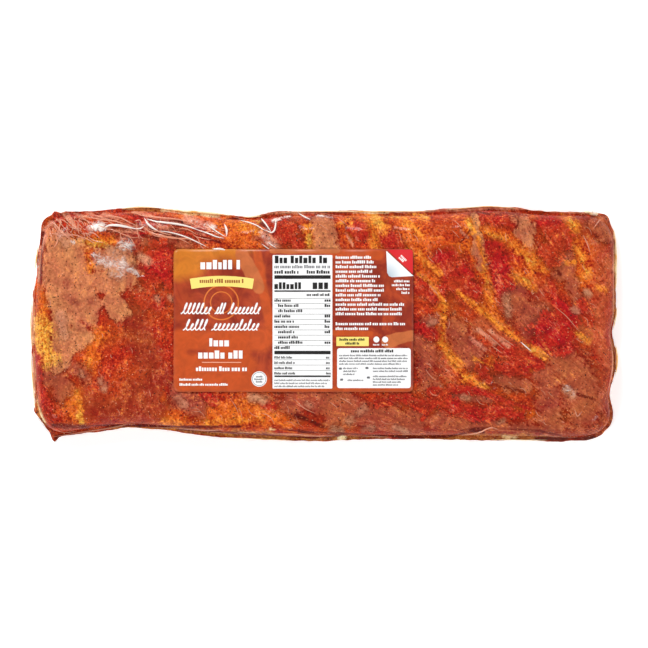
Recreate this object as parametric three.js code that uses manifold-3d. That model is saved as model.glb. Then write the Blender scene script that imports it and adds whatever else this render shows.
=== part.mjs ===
// A rack of seasoned pork ribs, meat side up, drawn tight in a clear vacuum bag with one label on top.
// Millimetres, +Z up. The origin is under the middle of the pack, on the surface that it lies on.
import * as THREE from "three";
import { mergeVertices } from "three/addons/utils/BufferGeometryUtils.js";
import Module from "manifold-3d";

// Driving sizes of the sealed pack
const packLength = 400;
const packWidth = 161;
const meatThickness = 27;
const ribCount = 11;
const ribPitch = 34;

// The bag's flat rim, where its two sheets meet all round the meat
const rimWidth = 3;
const rimThickness = 0.9;
const rimHeight = 6.5;

// How far in from the rim the film climbs to the top and drops to the underside
const shoulderReach = 14;
const heelReach = 10;
const roundness = 2.4;

// Plan of the corners: the turn begins cornerReach away, and a higher power is a squarer corner
const cornerReach = 24;
const cornerPower = { topLeft: 3, topRight: 3, bottomLeft: 2.5, bottomRight: 2.2 };
const ear = { size: 0.13, angle: 28, spread: 9 };

// The label, stuck on the film
const label = { length: 161, width: 96, centreX: -20.5, centreY: 2.4, cornerRadius: 3.4, thickness: 0.4, gap: 0.3 };

// Grid of the film: close lines at the rim and shoulder, wider ones over the flat
const rimSteps = [0, 1.5, 3, 3.6, 4.8, 7, 10.5, 15.5];
const flatStep = 7;

const halfLength = packLength / 2;
const halfWidth = packWidth / 2;
const quarterTurn = Math.PI / 4;

const hump = (at, centre, spread) => Math.exp(-(((at - centre) / spread) ** 2));
const ease = (low, high, at) => THREE.MathUtils.smoothstep(at, low, high);

// How far each edge of the bag stands in from its bounding line
const farEdgeInset = (x) => 3.4 * (1 - hump(x, -129, 24) + hump(x, -55, 20) - hump(x, 113, 27));
const nearEdgeInset = (x) => 1.5 * (1 - hump(x, -8, 26)) + 8.2 * hump(x, -132, 44) - 0.8 * hump(x, 150, 40);
const leftEdgeInset = (y) => 7 * ((y + 10) / 80) ** 2;
const rightEdgeInset = (y) => 2.5 * hump(y, -6, 9) + 3.6 * hump(y, -50, 14) + 3 * hump(y, 78, 12);

// Lines across one direction of the grid, from -half to +half
function gridLines(half) {
  const innermost = rimSteps.at(-1);
  const span = 2 * (half - innermost);
  const count = Math.round(span / flatStep);
  const low = rimSteps.map((step) => step - half);
  const middle = Array.from({ length: count - 1 }, (_, i) => innermost - half + ((i + 1) * span) / count);
  const high = rimSteps.map((step) => half - step).reverse();
  return [...low, ...middle, ...high];
}

// Rounds the corners of the plan. Gives the place and how deep it lies inside the outline.
function roundedPlan(x, y) {
  const across = Math.abs(x);
  const up = Math.abs(y);
  const p = (across - halfLength + cornerReach) / cornerReach;
  const q = (up - halfWidth + cornerReach) / cornerReach;
  if (p <= 0 || q <= 0) {
    return { x, y, depth: Math.min(halfLength - across, halfWidth - up) };
  }
  const reach = Math.max(p, q);
  const angle = q >= p ? (p / q) * quarterTurn : 2 * quarterTurn - (q / p) * quarterTurn;
  const side = (y > 0 ? "top" : "bottom") + (x > 0 ? "Right" : "Left");
  const power = 2 + (cornerPower[side] - 2) * reach;
  let radius = (Math.sin(angle) ** power + Math.cos(angle) ** power) ** (-1 / power);
  if (side === "bottomLeft") {
    radius += ear.size * hump(THREE.MathUtils.radToDeg(angle), ear.angle, ear.spread) * reach ** 8;
  }
  return {
    x: Math.sign(x) * (halfLength - cornerReach + cornerReach * reach * radius * Math.sin(angle)),
    y: Math.sign(y) * (halfWidth - cornerReach + cornerReach * reach * radius * Math.cos(angle)),
    depth: cornerReach * (1 - reach),
  };
}

// The plan drawn in by the uneven edges
function packPlan(gridX, gridY) {
  const { x, y, depth } = roundedPlan(gridX, gridY);
  const endInset = x < 0 ? leftEdgeInset(y) : rightEdgeInset(y);
  const sideInset = y > 0 ? farEdgeInset(x) : nearEdgeInset(x);
  return { x: x * (1 - endInset / halfLength), y: y * (1 - sideInset / halfWidth), depth };
}

// How far a place is from the nearest rib's crest, as a share of the pitch: 0 on it and 0.5 between two
function offCrest(x, y) {
  const lean = 0.12 * y - 5 * (y / halfWidth) ** 2;
  const turns = (x + lean) / ribPitch + (ribCount - 1) / 2;
  const offset = Math.abs(turns - Math.round(turns));
  const beyond = Math.abs(x + lean) - (ribCount * ribPitch) / 2;
  return beyond > 0 ? 0.5 : offset;
}

// Muscle lumps and hollows of the meat side
function meatRelief(x, y) {
  const ribs = 0.9 * Math.cos(2 * Math.PI * offCrest(x, y)) * ease(-70, 20, y);
  const broad = 1.3 * Math.sin(x / 41 + 0.9) * Math.cos(y / 46 - 0.3);
  const lumps = 0.9 * Math.sin(x / 19 + 0.8 * Math.sin(y / 23)) * Math.cos(y / 21 + x / 67);
  const thickSide = -1.6 * (y / halfWidth);
  const drawnCorner = -3.5 * hump(x, -172, 34) * hump(y, 76, 22);
  return ribs + broad + lumps + thickSide + drawnCorner;
}

const rimLevel = (x, y) => rimHeight + 1.3 * Math.sin(x / 17) * Math.cos(y / 13) - 1.2 * hump(x, -190, 20);
const climb = (share) => (1 - (1 - THREE.MathUtils.clamp(share, 0, 1)) ** roundness) ** (1 / roundness);

function topLevel({ x, y, depth }) {
  const rim = rimLevel(x, y) + rimThickness / 2;
  const rise = climb((depth - rimWidth) / shoulderReach);
  return rim + (meatThickness + meatRelief(x, y) - rim) * rise;
}

// The bone side: flat-crested ribs that carry the pack, with shallow hollows between them
function undersideLevel({ x, y, depth }) {
  const rim = rimLevel(x, y) - rimThickness / 2;
  const drop = climb((depth - rimWidth) / heelReach);
  const hollow = 2.4 * ease(0.22, 0.5, offCrest(x, y)) * ease(12, 30, depth + 8);
  return rim * (1 - drop) + hollow * drop;
}

// The sealed pack: a finely divided box whose two broad faces become the bag's two sheets
function sealedPackGeometry() {
  const linesX = gridLines(halfLength);
  const linesY = gridLines(halfWidth);
  const countX = linesX.length - 1;
  const countY = linesY.length - 1;
  const geometry = new THREE.BoxGeometry(countX, countY, 2, countX, countY, 1);
  const position = geometry.getAttribute("position");
  for (let i = 0; i < position.count; i++) {
    const column = Math.round(position.getX(i) + countX / 2);
    const row = Math.round(position.getY(i) + countY / 2);
    const place = packPlan(linesX[column], linesY[row]);
    const level = position.getZ(i) > 0 ? topLevel(place) : undersideLevel(place);
    position.setXYZ(i, place.x, place.y, level);
  }
  geometry.deleteAttribute("normal");
  geometry.deleteAttribute("uv");
  const closed = mergeVertices(geometry, 1e-4);
  closed.computeBoundingBox();
  const box = closed.boundingBox;
  closed.translate(-(box.min.x + box.max.x) / 2, -(box.min.y + box.max.y) / 2, -box.min.z);
  return closed;
}

const wasm = await Module();
wasm.setup();

function solidOf(geometry) {
  const vertProperties = new Float32Array(geometry.getAttribute("position").array);
  const triVerts = new Uint32Array(geometry.index.array);
  return new wasm.Manifold(new wasm.Mesh({ numProp: 3, vertProperties, triVerts }));
}

function geometryOf(solid) {
  const made = solid.getMesh();
  const geometry = new THREE.BufferGeometry();
  geometry.setAttribute("position", new THREE.BufferAttribute(made.vertProperties, 3));
  geometry.setIndex(new THREE.BufferAttribute(made.triVerts, 1));
  geometry.computeVertexNormals();
  return geometry;
}

// A block with the label's rounded outline, tall enough to pass right through the top sheet
function labelBlock() {
  const { length, width, cornerRadius } = label;
  const right = length / 2;
  const top = width / 2;
  const outline = new THREE.Shape();
  outline.absarc(right - cornerRadius, top - cornerRadius, cornerRadius, 0, Math.PI / 2);
  outline.absarc(-right + cornerRadius, top - cornerRadius, cornerRadius, Math.PI / 2, Math.PI);
  outline.absarc(-right + cornerRadius, -top + cornerRadius, cornerRadius, Math.PI, 1.5 * Math.PI);
  outline.absarc(right - cornerRadius, -top + cornerRadius, cornerRadius, 1.5 * Math.PI, 2 * Math.PI);
  const block = new THREE.ExtrudeGeometry(outline, {
    depth: meatThickness,
    bevelEnabled: false,
    curveSegments: 4,
  });
  block.translate(label.centreX, label.centreY, meatThickness / 2);
  block.deleteAttribute("normal");
  block.deleteAttribute("uv");
  return mergeVertices(block, 1e-4);
}

// The label: the top sheet raised by the label's thickness, less the same sheet raised by the gap
function labelGeometry(packGeometry) {
  const raised = (height) => solidOf(packGeometry.clone().translate(0, 0, height));
  const sheet = raised(label.gap + label.thickness).subtract(raised(label.gap));
  return geometryOf(sheet.intersect(solidOf(labelBlock())));
}

function namedMesh(name, geometry, finish) {
  const mesh = new THREE.Mesh(geometry, new THREE.MeshStandardMaterial(finish));
  mesh.name = name;
  return mesh;
}

const packGeometry = sealedPackGeometry();
const ribsPack = new THREE.Group();
ribsPack.add(namedMesh("sealed_pack", packGeometry, { color: 0xa9482b, roughness: 0.25, metalness: 0 }));
ribsPack.add(namedMesh("label", labelGeometry(packGeometry), { color: 0xc8642c, roughness: 0.5, metalness: 0 }));

export default ribsPack;
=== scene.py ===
import math

import bmesh
import bpy
import numpy as np
from mathutils.bvhtree import BVHTree
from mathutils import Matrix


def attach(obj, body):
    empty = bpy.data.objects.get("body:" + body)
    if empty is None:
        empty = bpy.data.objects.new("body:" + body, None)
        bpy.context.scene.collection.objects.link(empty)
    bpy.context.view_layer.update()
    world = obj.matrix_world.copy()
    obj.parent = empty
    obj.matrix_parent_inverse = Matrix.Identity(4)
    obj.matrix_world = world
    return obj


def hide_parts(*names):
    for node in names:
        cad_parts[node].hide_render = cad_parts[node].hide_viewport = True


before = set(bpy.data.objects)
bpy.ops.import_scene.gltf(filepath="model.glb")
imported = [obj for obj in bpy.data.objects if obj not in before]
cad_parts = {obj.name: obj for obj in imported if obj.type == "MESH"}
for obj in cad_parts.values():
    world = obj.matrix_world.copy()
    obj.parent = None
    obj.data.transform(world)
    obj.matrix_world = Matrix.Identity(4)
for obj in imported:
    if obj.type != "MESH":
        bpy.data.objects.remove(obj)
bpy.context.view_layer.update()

mm = 0.001
scene = bpy.context.scene


# Camera and light: straight above, as the photograph is taken

photo = {
    "pixels": 648,
    "mmPerPixel": 0.679,
    "cameraHeight": 1700,
    "outlineHeight": 8,
    "sensor": 36,
}

studio = {
    "skyStrength": 0.78,
    "zenith": 0.1,
    "floorSize": 6,
    "floorGlow": 0.42,
    "softboxes": {
        "KeySoftbox": {"place": (-450, 900, 1000), "size": 480, "power": 14},
        "FillSoftbox": {"place": (900, -500, 900), "size": 460, "power": 7},
        "FrontSoftbox": {"place": (-800, -700, 900), "size": 460, "power": 5},
    },
}


def hexColour(code):
    # sRGB hex to the linear colour that sockets take
    parts = [int(code[i:i + 2], 16) / 255 for i in (1, 3, 5)]
    return [p / 12.92 if p <= 0.04045 else ((p + 0.055) / 1.055) ** 2.4 for p in parts] + [1]


def addNode(tree, kind, inputs={}, **settings):
    # An input takes a value, a socket, or a node for that node's first output
    made = tree.nodes.new(kind)
    for name, value in settings.items():
        setattr(made, name, value)
    for key, value in inputs.items():
        if isinstance(value, bpy.types.Node):
            value = value.outputs[0]
        if isinstance(value, bpy.types.NodeSocket):
            tree.links.new(value, made.inputs[key])
        else:
            made.inputs[key].default_value = value
    return made


def newMaterial(name):
    material = bpy.data.materials.new(name)
    material.use_nodes = True
    material.node_tree.nodes.clear()
    return material, material.node_tree


def perMetre(sizeInMm):
    # A pattern's scale from the size of one of its lumps
    return 1000 / sizeInMm


def addSoftbox(name, place, size, power):
    lamp = bpy.data.lights.new(name, "AREA")
    lamp.size = size * mm
    lamp.energy = power
    lampObject = bpy.data.objects.new(name, lamp)
    lampObject.location = [c * mm for c in place]
    lampObject.rotation_euler = (-lampObject.location).to_track_quat("-Z", "Y").to_euler()
    scene.collection.objects.link(lampObject)


def setStage():
    camera = bpy.data.cameras.new("OverheadCamera")
    camera.sensor_width = photo["sensor"]
    framed = photo["pixels"] * photo["mmPerPixel"]
    camera.lens = photo["sensor"] * (photo["cameraHeight"] - photo["outlineHeight"]) / framed
    cameraObject = bpy.data.objects.new("OverheadCamera", camera)
    cameraObject.location = (0, 0, photo["cameraHeight"] * mm)
    scene.collection.objects.link(cameraObject)
    scene.camera = cameraObject
    scene.view_settings.view_transform = "Standard"

    # White walls all round and a dim ceiling, so that flat gloss seen from above keeps its colour
    world = bpy.data.worlds.new("StudioWalls")
    world.use_nodes = True
    tree = world.node_tree
    tree.nodes.clear()
    way = addNode(tree, "ShaderNodeTexCoord").outputs["Generated"]
    up = addNode(tree, "ShaderNodeSeparateXYZ", {0: way}).outputs["Z"]
    level = addNode(tree, "ShaderNodeMapRange", {
        0: up, 1: 0.3, 2: 0.7, 3: 1.0, 4: studio["zenith"],
    }, interpolation_type="SMOOTHSTEP")
    sky = addNode(tree, "ShaderNodeBackground", {"Color": level, "Strength": studio["skyStrength"]})
    addNode(tree, "ShaderNodeOutputWorld", {"Surface": sky})
    scene.world = world
    for name, box in studio["softboxes"].items():
        addSoftbox(name, box["place"], box["size"], box["power"])

    bpy.ops.mesh.primitive_plane_add(size=studio["floorSize"], location=(0, 0, -0.0002))
    floor = bpy.context.object
    floor.name = "StudioFloor"
    matte, tree = newMaterial("LitPaperSweep")
    # Lit a little from behind, as a light table is, so that no shadow greys it
    surface = addNode(tree, "ShaderNodeBsdfPrincipled", {
        "Base Color": hexColour("#FAFAFA"),
        "Roughness": 0.9,
        "Emission Color": hexColour("#FFFFFF"),
        "Emission Strength": studio["floorGlow"],
    })
    addNode(tree, "ShaderNodeOutputMaterial", {"Surface": surface})
    floor.data.materials.append(matte)


setStage()
print("stage: camera, lights and floor")


# The pack's form, in millimetres, worked out as its solid is

pack = {
    "length": 400,
    "width": 161,
    "meatThickness": 27,
    "ribCount": 11,
    "ribPitch": 34,
    "rimWidth": 3,
    "rimThickness": 0.9,
    "rimHeight": 6.5,
    "shoulderReach": 14,
    "heelReach": 10,
    "roundness": 2.4,
    "cornerReach": 24,
    "cornerPower": {"topLeft": 3, "topRight": 3, "bottomLeft": 2.5, "bottomRight": 2.2},
    "ear": {"size": 0.13, "angle": 28, "spread": 9},
    # The grid that both sheets are drawn on
    "step": 1.25,
    "rimStep": 0.7,
    "shoulderLines": 15,
    # So far in that the shoulder has long ended
    "flatDepth": 60.0,
}
halfLength = pack["length"] / 2
halfWidth = pack["width"] / 2


def hump(at, centre, spread):
    return np.exp(-(((at - centre) / spread) ** 2))


def ease(low, high, at):
    share = np.clip((at - low) / (high - low), 0, 1)
    return share * share * (3 - 2 * share)


def farEdgeInset(x):
    return 3.4 * (1 - hump(x, -129, 24) + hump(x, -55, 20) - hump(x, 113, 27))


def nearEdgeInset(x):
    return 1.5 * (1 - hump(x, -8, 26)) + 8.2 * hump(x, -132, 44) - 0.8 * hump(x, 150, 40)


def leftEdgeInset(y):
    return 7 * ((y + 10) / 80) ** 2


def rightEdgeInset(y):
    return 2.5 * hump(y, -6, 9) + 3.6 * hump(y, -50, 14) + 3 * hump(y, 78, 12)


def packPlan(gridX, gridY):
    # Rounds a straight grid's corners and draws in its edges. Also gives how deep each place lies inside.
    reachOfTurn = pack["cornerReach"]
    across = np.abs(gridX)
    up = np.abs(gridY)
    p = (across - halfLength + reachOfTurn) / reachOfTurn
    q = (up - halfWidth + reachOfTurn) / reachOfTurn
    turning = (p > 0) & (q > 0)
    p = np.where(turning, p, 1)
    q = np.where(turning, q, 1)
    reach = np.maximum(p, q)
    angle = np.where(q >= p, p / q * math.pi / 4, math.pi / 2 - q / p * math.pi / 4)
    corner = pack["cornerPower"]
    power = np.where(
        gridY > 0,
        np.where(gridX > 0, corner["topRight"], corner["topLeft"]),
        np.where(gridX > 0, corner["bottomRight"], corner["bottomLeft"]),
    )
    power = 2 + (power - 2) * reach
    radius = (np.sin(angle) ** power + np.cos(angle) ** power) ** (-1 / power)
    ear = pack["ear"]
    earRise = ear["size"] * hump(np.degrees(angle), ear["angle"], ear["spread"]) * reach ** 8
    radius = radius + np.where((gridX < 0) & (gridY < 0), earRise, 0)
    turnedX = np.sign(gridX) * (halfLength - reachOfTurn + reachOfTurn * reach * radius * np.sin(angle))
    turnedY = np.sign(gridY) * (halfWidth - reachOfTurn + reachOfTurn * reach * radius * np.cos(angle))
    x = np.where(turning, turnedX, gridX)
    y = np.where(turning, turnedY, gridY)
    depth = np.where(turning, reachOfTurn * (1 - reach), np.minimum(halfLength - across, halfWidth - up))
    endInset = np.where(x < 0, leftEdgeInset(y), rightEdgeInset(y))
    sideInset = np.where(y > 0, farEdgeInset(x), nearEdgeInset(x))
    return x * (1 - endInset / halfLength), y * (1 - sideInset / halfWidth), depth


def offCrest(x, y):
    # How far a place is from the nearest rib's crest: 0 on it and 0.5 between two
    lean = 0.12 * y - 5 * (y / halfWidth) ** 2
    turns = (x + lean) / pack["ribPitch"] + (pack["ribCount"] - 1) / 2
    beyond = np.abs(x + lean) - pack["ribCount"] * pack["ribPitch"] / 2
    return np.where(beyond > 0, 0.5, np.abs(turns - np.round(turns)))


def meatRelief(x, y):
    ribs = 0.9 * np.cos(2 * math.pi * offCrest(x, y)) * ease(-70, 20, y)
    broad = 1.3 * np.sin(x / 41 + 0.9) * np.cos(y / 46 - 0.3)
    lumps = 0.9 * np.sin(x / 19 + 0.8 * np.sin(y / 23)) * np.cos(y / 21 + x / 67)
    thickSide = -1.6 * (y / halfWidth)
    drawnCorner = -3.5 * hump(x, -172, 34) * hump(y, 76, 22)
    return ribs + broad + lumps + thickSide + drawnCorner


def rimLevel(x, y):
    return pack["rimHeight"] + 1.3 * np.sin(x / 17) * np.cos(y / 13) - 1.2 * hump(x, -190, 20)


def climb(share):
    power = pack["roundness"]
    return (1 - (1 - np.clip(share, 0, 1)) ** power) ** (1 / power)


def topLevel(x, y, depth, clearance=0.0):
    # The bag's upper sheet. Clearance gives the same form that much further in, for the meat.
    rim = rimLevel(x, y) + (pack["rimThickness"] / 2 if clearance == 0 else 0.1)
    rise = climb((depth - pack["rimWidth"] - clearance) / pack["shoulderReach"])
    return rim + (pack["meatThickness"] - clearance + meatRelief(x, y) - rim) * rise


def undersideLevel(x, y, depth, clearance=0.0):
    rim = rimLevel(x, y) - (pack["rimThickness"] / 2 if clearance == 0 else 0.1)
    drop = climb((depth - pack["rimWidth"] - clearance) / pack["heelReach"])
    hollow = 2.4 * ease(0.22, 0.5, offCrest(x, y)) * ease(12, 30, depth + 8)
    return rim * (1 - drop) + (hollow + clearance) * drop


def softNoise(x, y, lump, seed):
    # Smooth random lumps about this many millimetres across, from 0 to 1, on a turned grid
    draw = np.random.default_rng(seed).random((int(700 / lump) + 4, int(700 / lump) + 4))
    u = (0.83 * x + 0.56 * y + 330) / lump
    v = (0.83 * y - 0.56 * x + 330) / lump
    i = np.floor(u).astype(int)
    j = np.floor(v).astype(int)
    a = ease(0, 1, u - i)
    b = ease(0, 1, v - j)
    low = draw[i, j] * (1 - a) + draw[i + 1, j] * a
    high = draw[i, j + 1] * (1 - a) + draw[i + 1, j + 1] * a
    return low * (1 - b) + high * b


def strokeField(x, y, strokes, raggedness=0.5, seed=1):
    # 1 on a stroke's line, 0.5 at its edge, falling to 0. A stroke is x, y to x, y and its half width.
    field = np.zeros_like(x)
    wander = softNoise(x, y, 9, seed) + 0.6 * softNoise(x, y, 3.6, seed + 1) - 0.8
    for startX, startY, endX, endY, half in strokes:
        alongX = endX - startX
        alongY = endY - startY
        share = ((x - startX) * alongX + (y - startY) * alongY) / (alongX ** 2 + alongY ** 2 + 1e-6)
        share = np.clip(share, 0, 1)
        away = np.hypot(x - startX - share * alongX, y - startY - share * alongY)
        away = away + wander * raggedness * min(half, 10) * 1.6
        field = np.maximum(field, np.clip(1 - 0.5 * away / half, 0, 1))
    return field


def gridLines(half, firstDepth):
    # Close lines up the steep shoulder, wider ones over the flat
    turn = np.linspace(0, math.pi / 2, pack["shoulderLines"])[1:]
    shoulder = pack["rimWidth"] + pack["shoulderReach"] * (1 - np.cos(turn) ** (2 / pack["roundness"]))
    outer = np.arange(firstDepth, pack["rimWidth"] - 0.2, pack["rimStep"])
    depths = np.concatenate([outer, [pack["rimWidth"]], shoulder])
    innermost = depths[-1]
    count = round(2 * (half - innermost) / pack["step"])
    middle = np.linspace(innermost - half, half - innermost, count + 1)[1:-1]
    return np.concatenate([depths - half, middle, half - depths[::-1]])


def closedSheets(name, gridX, gridY, top, bottom, centre):
    # Two sheets over one grid, joined round the edge, as one mesh in metres
    countX, countY = gridX.shape
    x, y = gridX.ravel(), gridY.ravel()
    places = np.concatenate([np.stack([x, y, top.ravel()], 1), np.stack([x, y, bottom.ravel()], 1)])
    places = (places - centre) * mm
    index = np.arange(countX * countY).reshape(countX, countY)
    upper = np.stack([index[:-1, :-1], index[1:, :-1], index[1:, 1:], index[:-1, 1:]], -1).reshape(-1, 4)
    lower = upper[:, ::-1] + countX * countY
    edge = np.concatenate([index[:-1, 0], index[-1, :-1], index[:0:-1, -1], index[0, :0:-1]])
    onward = np.roll(edge, -1)
    wall = np.stack([edge + countX * countY, onward + countX * countY, onward, edge], 1)
    mesh = bpy.data.meshes.new(name)
    mesh.from_pydata(places.tolist(), [], np.concatenate([upper, lower, wall]).tolist())
    mesh.update()
    mesh.shade_smooth()
    piece = bpy.data.objects.new(name, mesh)
    scene.collection.objects.link(piece)
    return piece


def writeAttribute(piece, name, values):
    attribute = piece.data.attributes.new(name, "FLOAT", "POINT")
    attribute.data.foreach_set("value", np.asarray(values, np.float32))


# The uneven line of the film's edge
filmEdge = {
    "wobble": 1.3,
    "endsInset": 0.6,
    "reachX": 199.8,
    "reachY": 80.3,
    # Where the film's edge is drawn out to a tip, or in if it is below zero: x, y, how far and how wide
    "tips": [
        (-182.5, 75, 2.4, 2.4), (-175.5, 75, 1.2, 1.8), (-183, -76.5, 3.6, 2.2), (-195.5, 46, 1.4, 3),
        (-198.5, 20, 0.8, 3), (-198, -42, 1, 3), (-195, -59, 1.6, 3), (190.5, 72.5, 1.8, 5),
        (-190, 68, 2.2, 6), (-32, 75, 1.5, 12), (18, 75.5, 0.8, 14), (84, 77, 1.2, 16),
        (132, 77, 0.7, 10), (-150, -71, 1, 14), (-120, -69.5, 1, 8), (104, -77.5, 0.8, 16),
        (160, -78, 0.9, 14), (-195, 34, -1, 8), (-191, -66, -1.6, 4), (194.5, -44, -1.2, 8),
        (196.5, 28, -0.6, 8),
    ],
}


def planGrid(firstDepth):
    linesX = gridLines(halfLength, firstDepth)
    linesY = gridLines(halfWidth, firstDepth)
    return np.meshgrid(linesX, linesY, indexing="ij")


def fineGrid(firstDepth):
    # The rim wanders in and out by half the wobble and stands out at its tips, as shrunken film does
    gridX, gridY = planGrid(firstDepth)
    x, y, depth = packPlan(gridX, gridY)
    inward = filmEdge["wobble"] * (0.6 * softNoise(x, y, 7, 61) + 0.4 * softNoise(x, y, 2.8, 62) - 0.6)
    for tipX, tipY, reach, spread in filmEdge["tips"]:
        inward = inward - reach * hump(np.hypot(x - tipX, y - tipY), 0, spread)
    inward = inward * ease(5, 0, depth)
    atEnds = inward + filmEdge["endsInset"] * ease(5, 0, depth)
    onEnd = ease(10, 2, halfLength - np.abs(gridX))
    onSide = ease(10, 2, halfWidth - np.abs(gridY))
    x = np.clip(x - np.sign(x) * atEnds * onEnd, -filmEdge["reachX"], filmEdge["reachX"])
    y = np.clip(y - np.sign(y) * inward * onSide, -filmEdge["reachY"], filmEdge["reachY"])
    return x, y, depth


# The solid is centred on its box, so the same shift brings these sheets onto it
planX, planY, _ = packPlan(*planGrid(0))
centre = np.array([(planX.min() + planX.max()) / 2, (planY.min() + planY.max()) / 2, 0])


# The meat, a little inside the film. Places are millimetres from the middle of the pack, with
# +Y away from the reader.

meat = {
    "edge": 0.9,
    "clearance": 0.7,
    "granule": 2.6,
    "granuleHeight": 0.5,
    "lumpHeight": 0.5,
    "grooveDepth": 0.6,
    "raggedness": 0.6,
    # Zones of the bone side: strength, size of a lump and seed
    "below": {
        "orange": (0.8, 19, 22),
        "rust": (0.8, 18, 26),
        "brown": (0.9, 21, 20),
        "red": (0.8, 17, 23),
        "tan": (0.8, 26, 21),
        "fat": (0.75, 12, 24),
        "pale": (0.9, 10, 25),
    },
}

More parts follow.
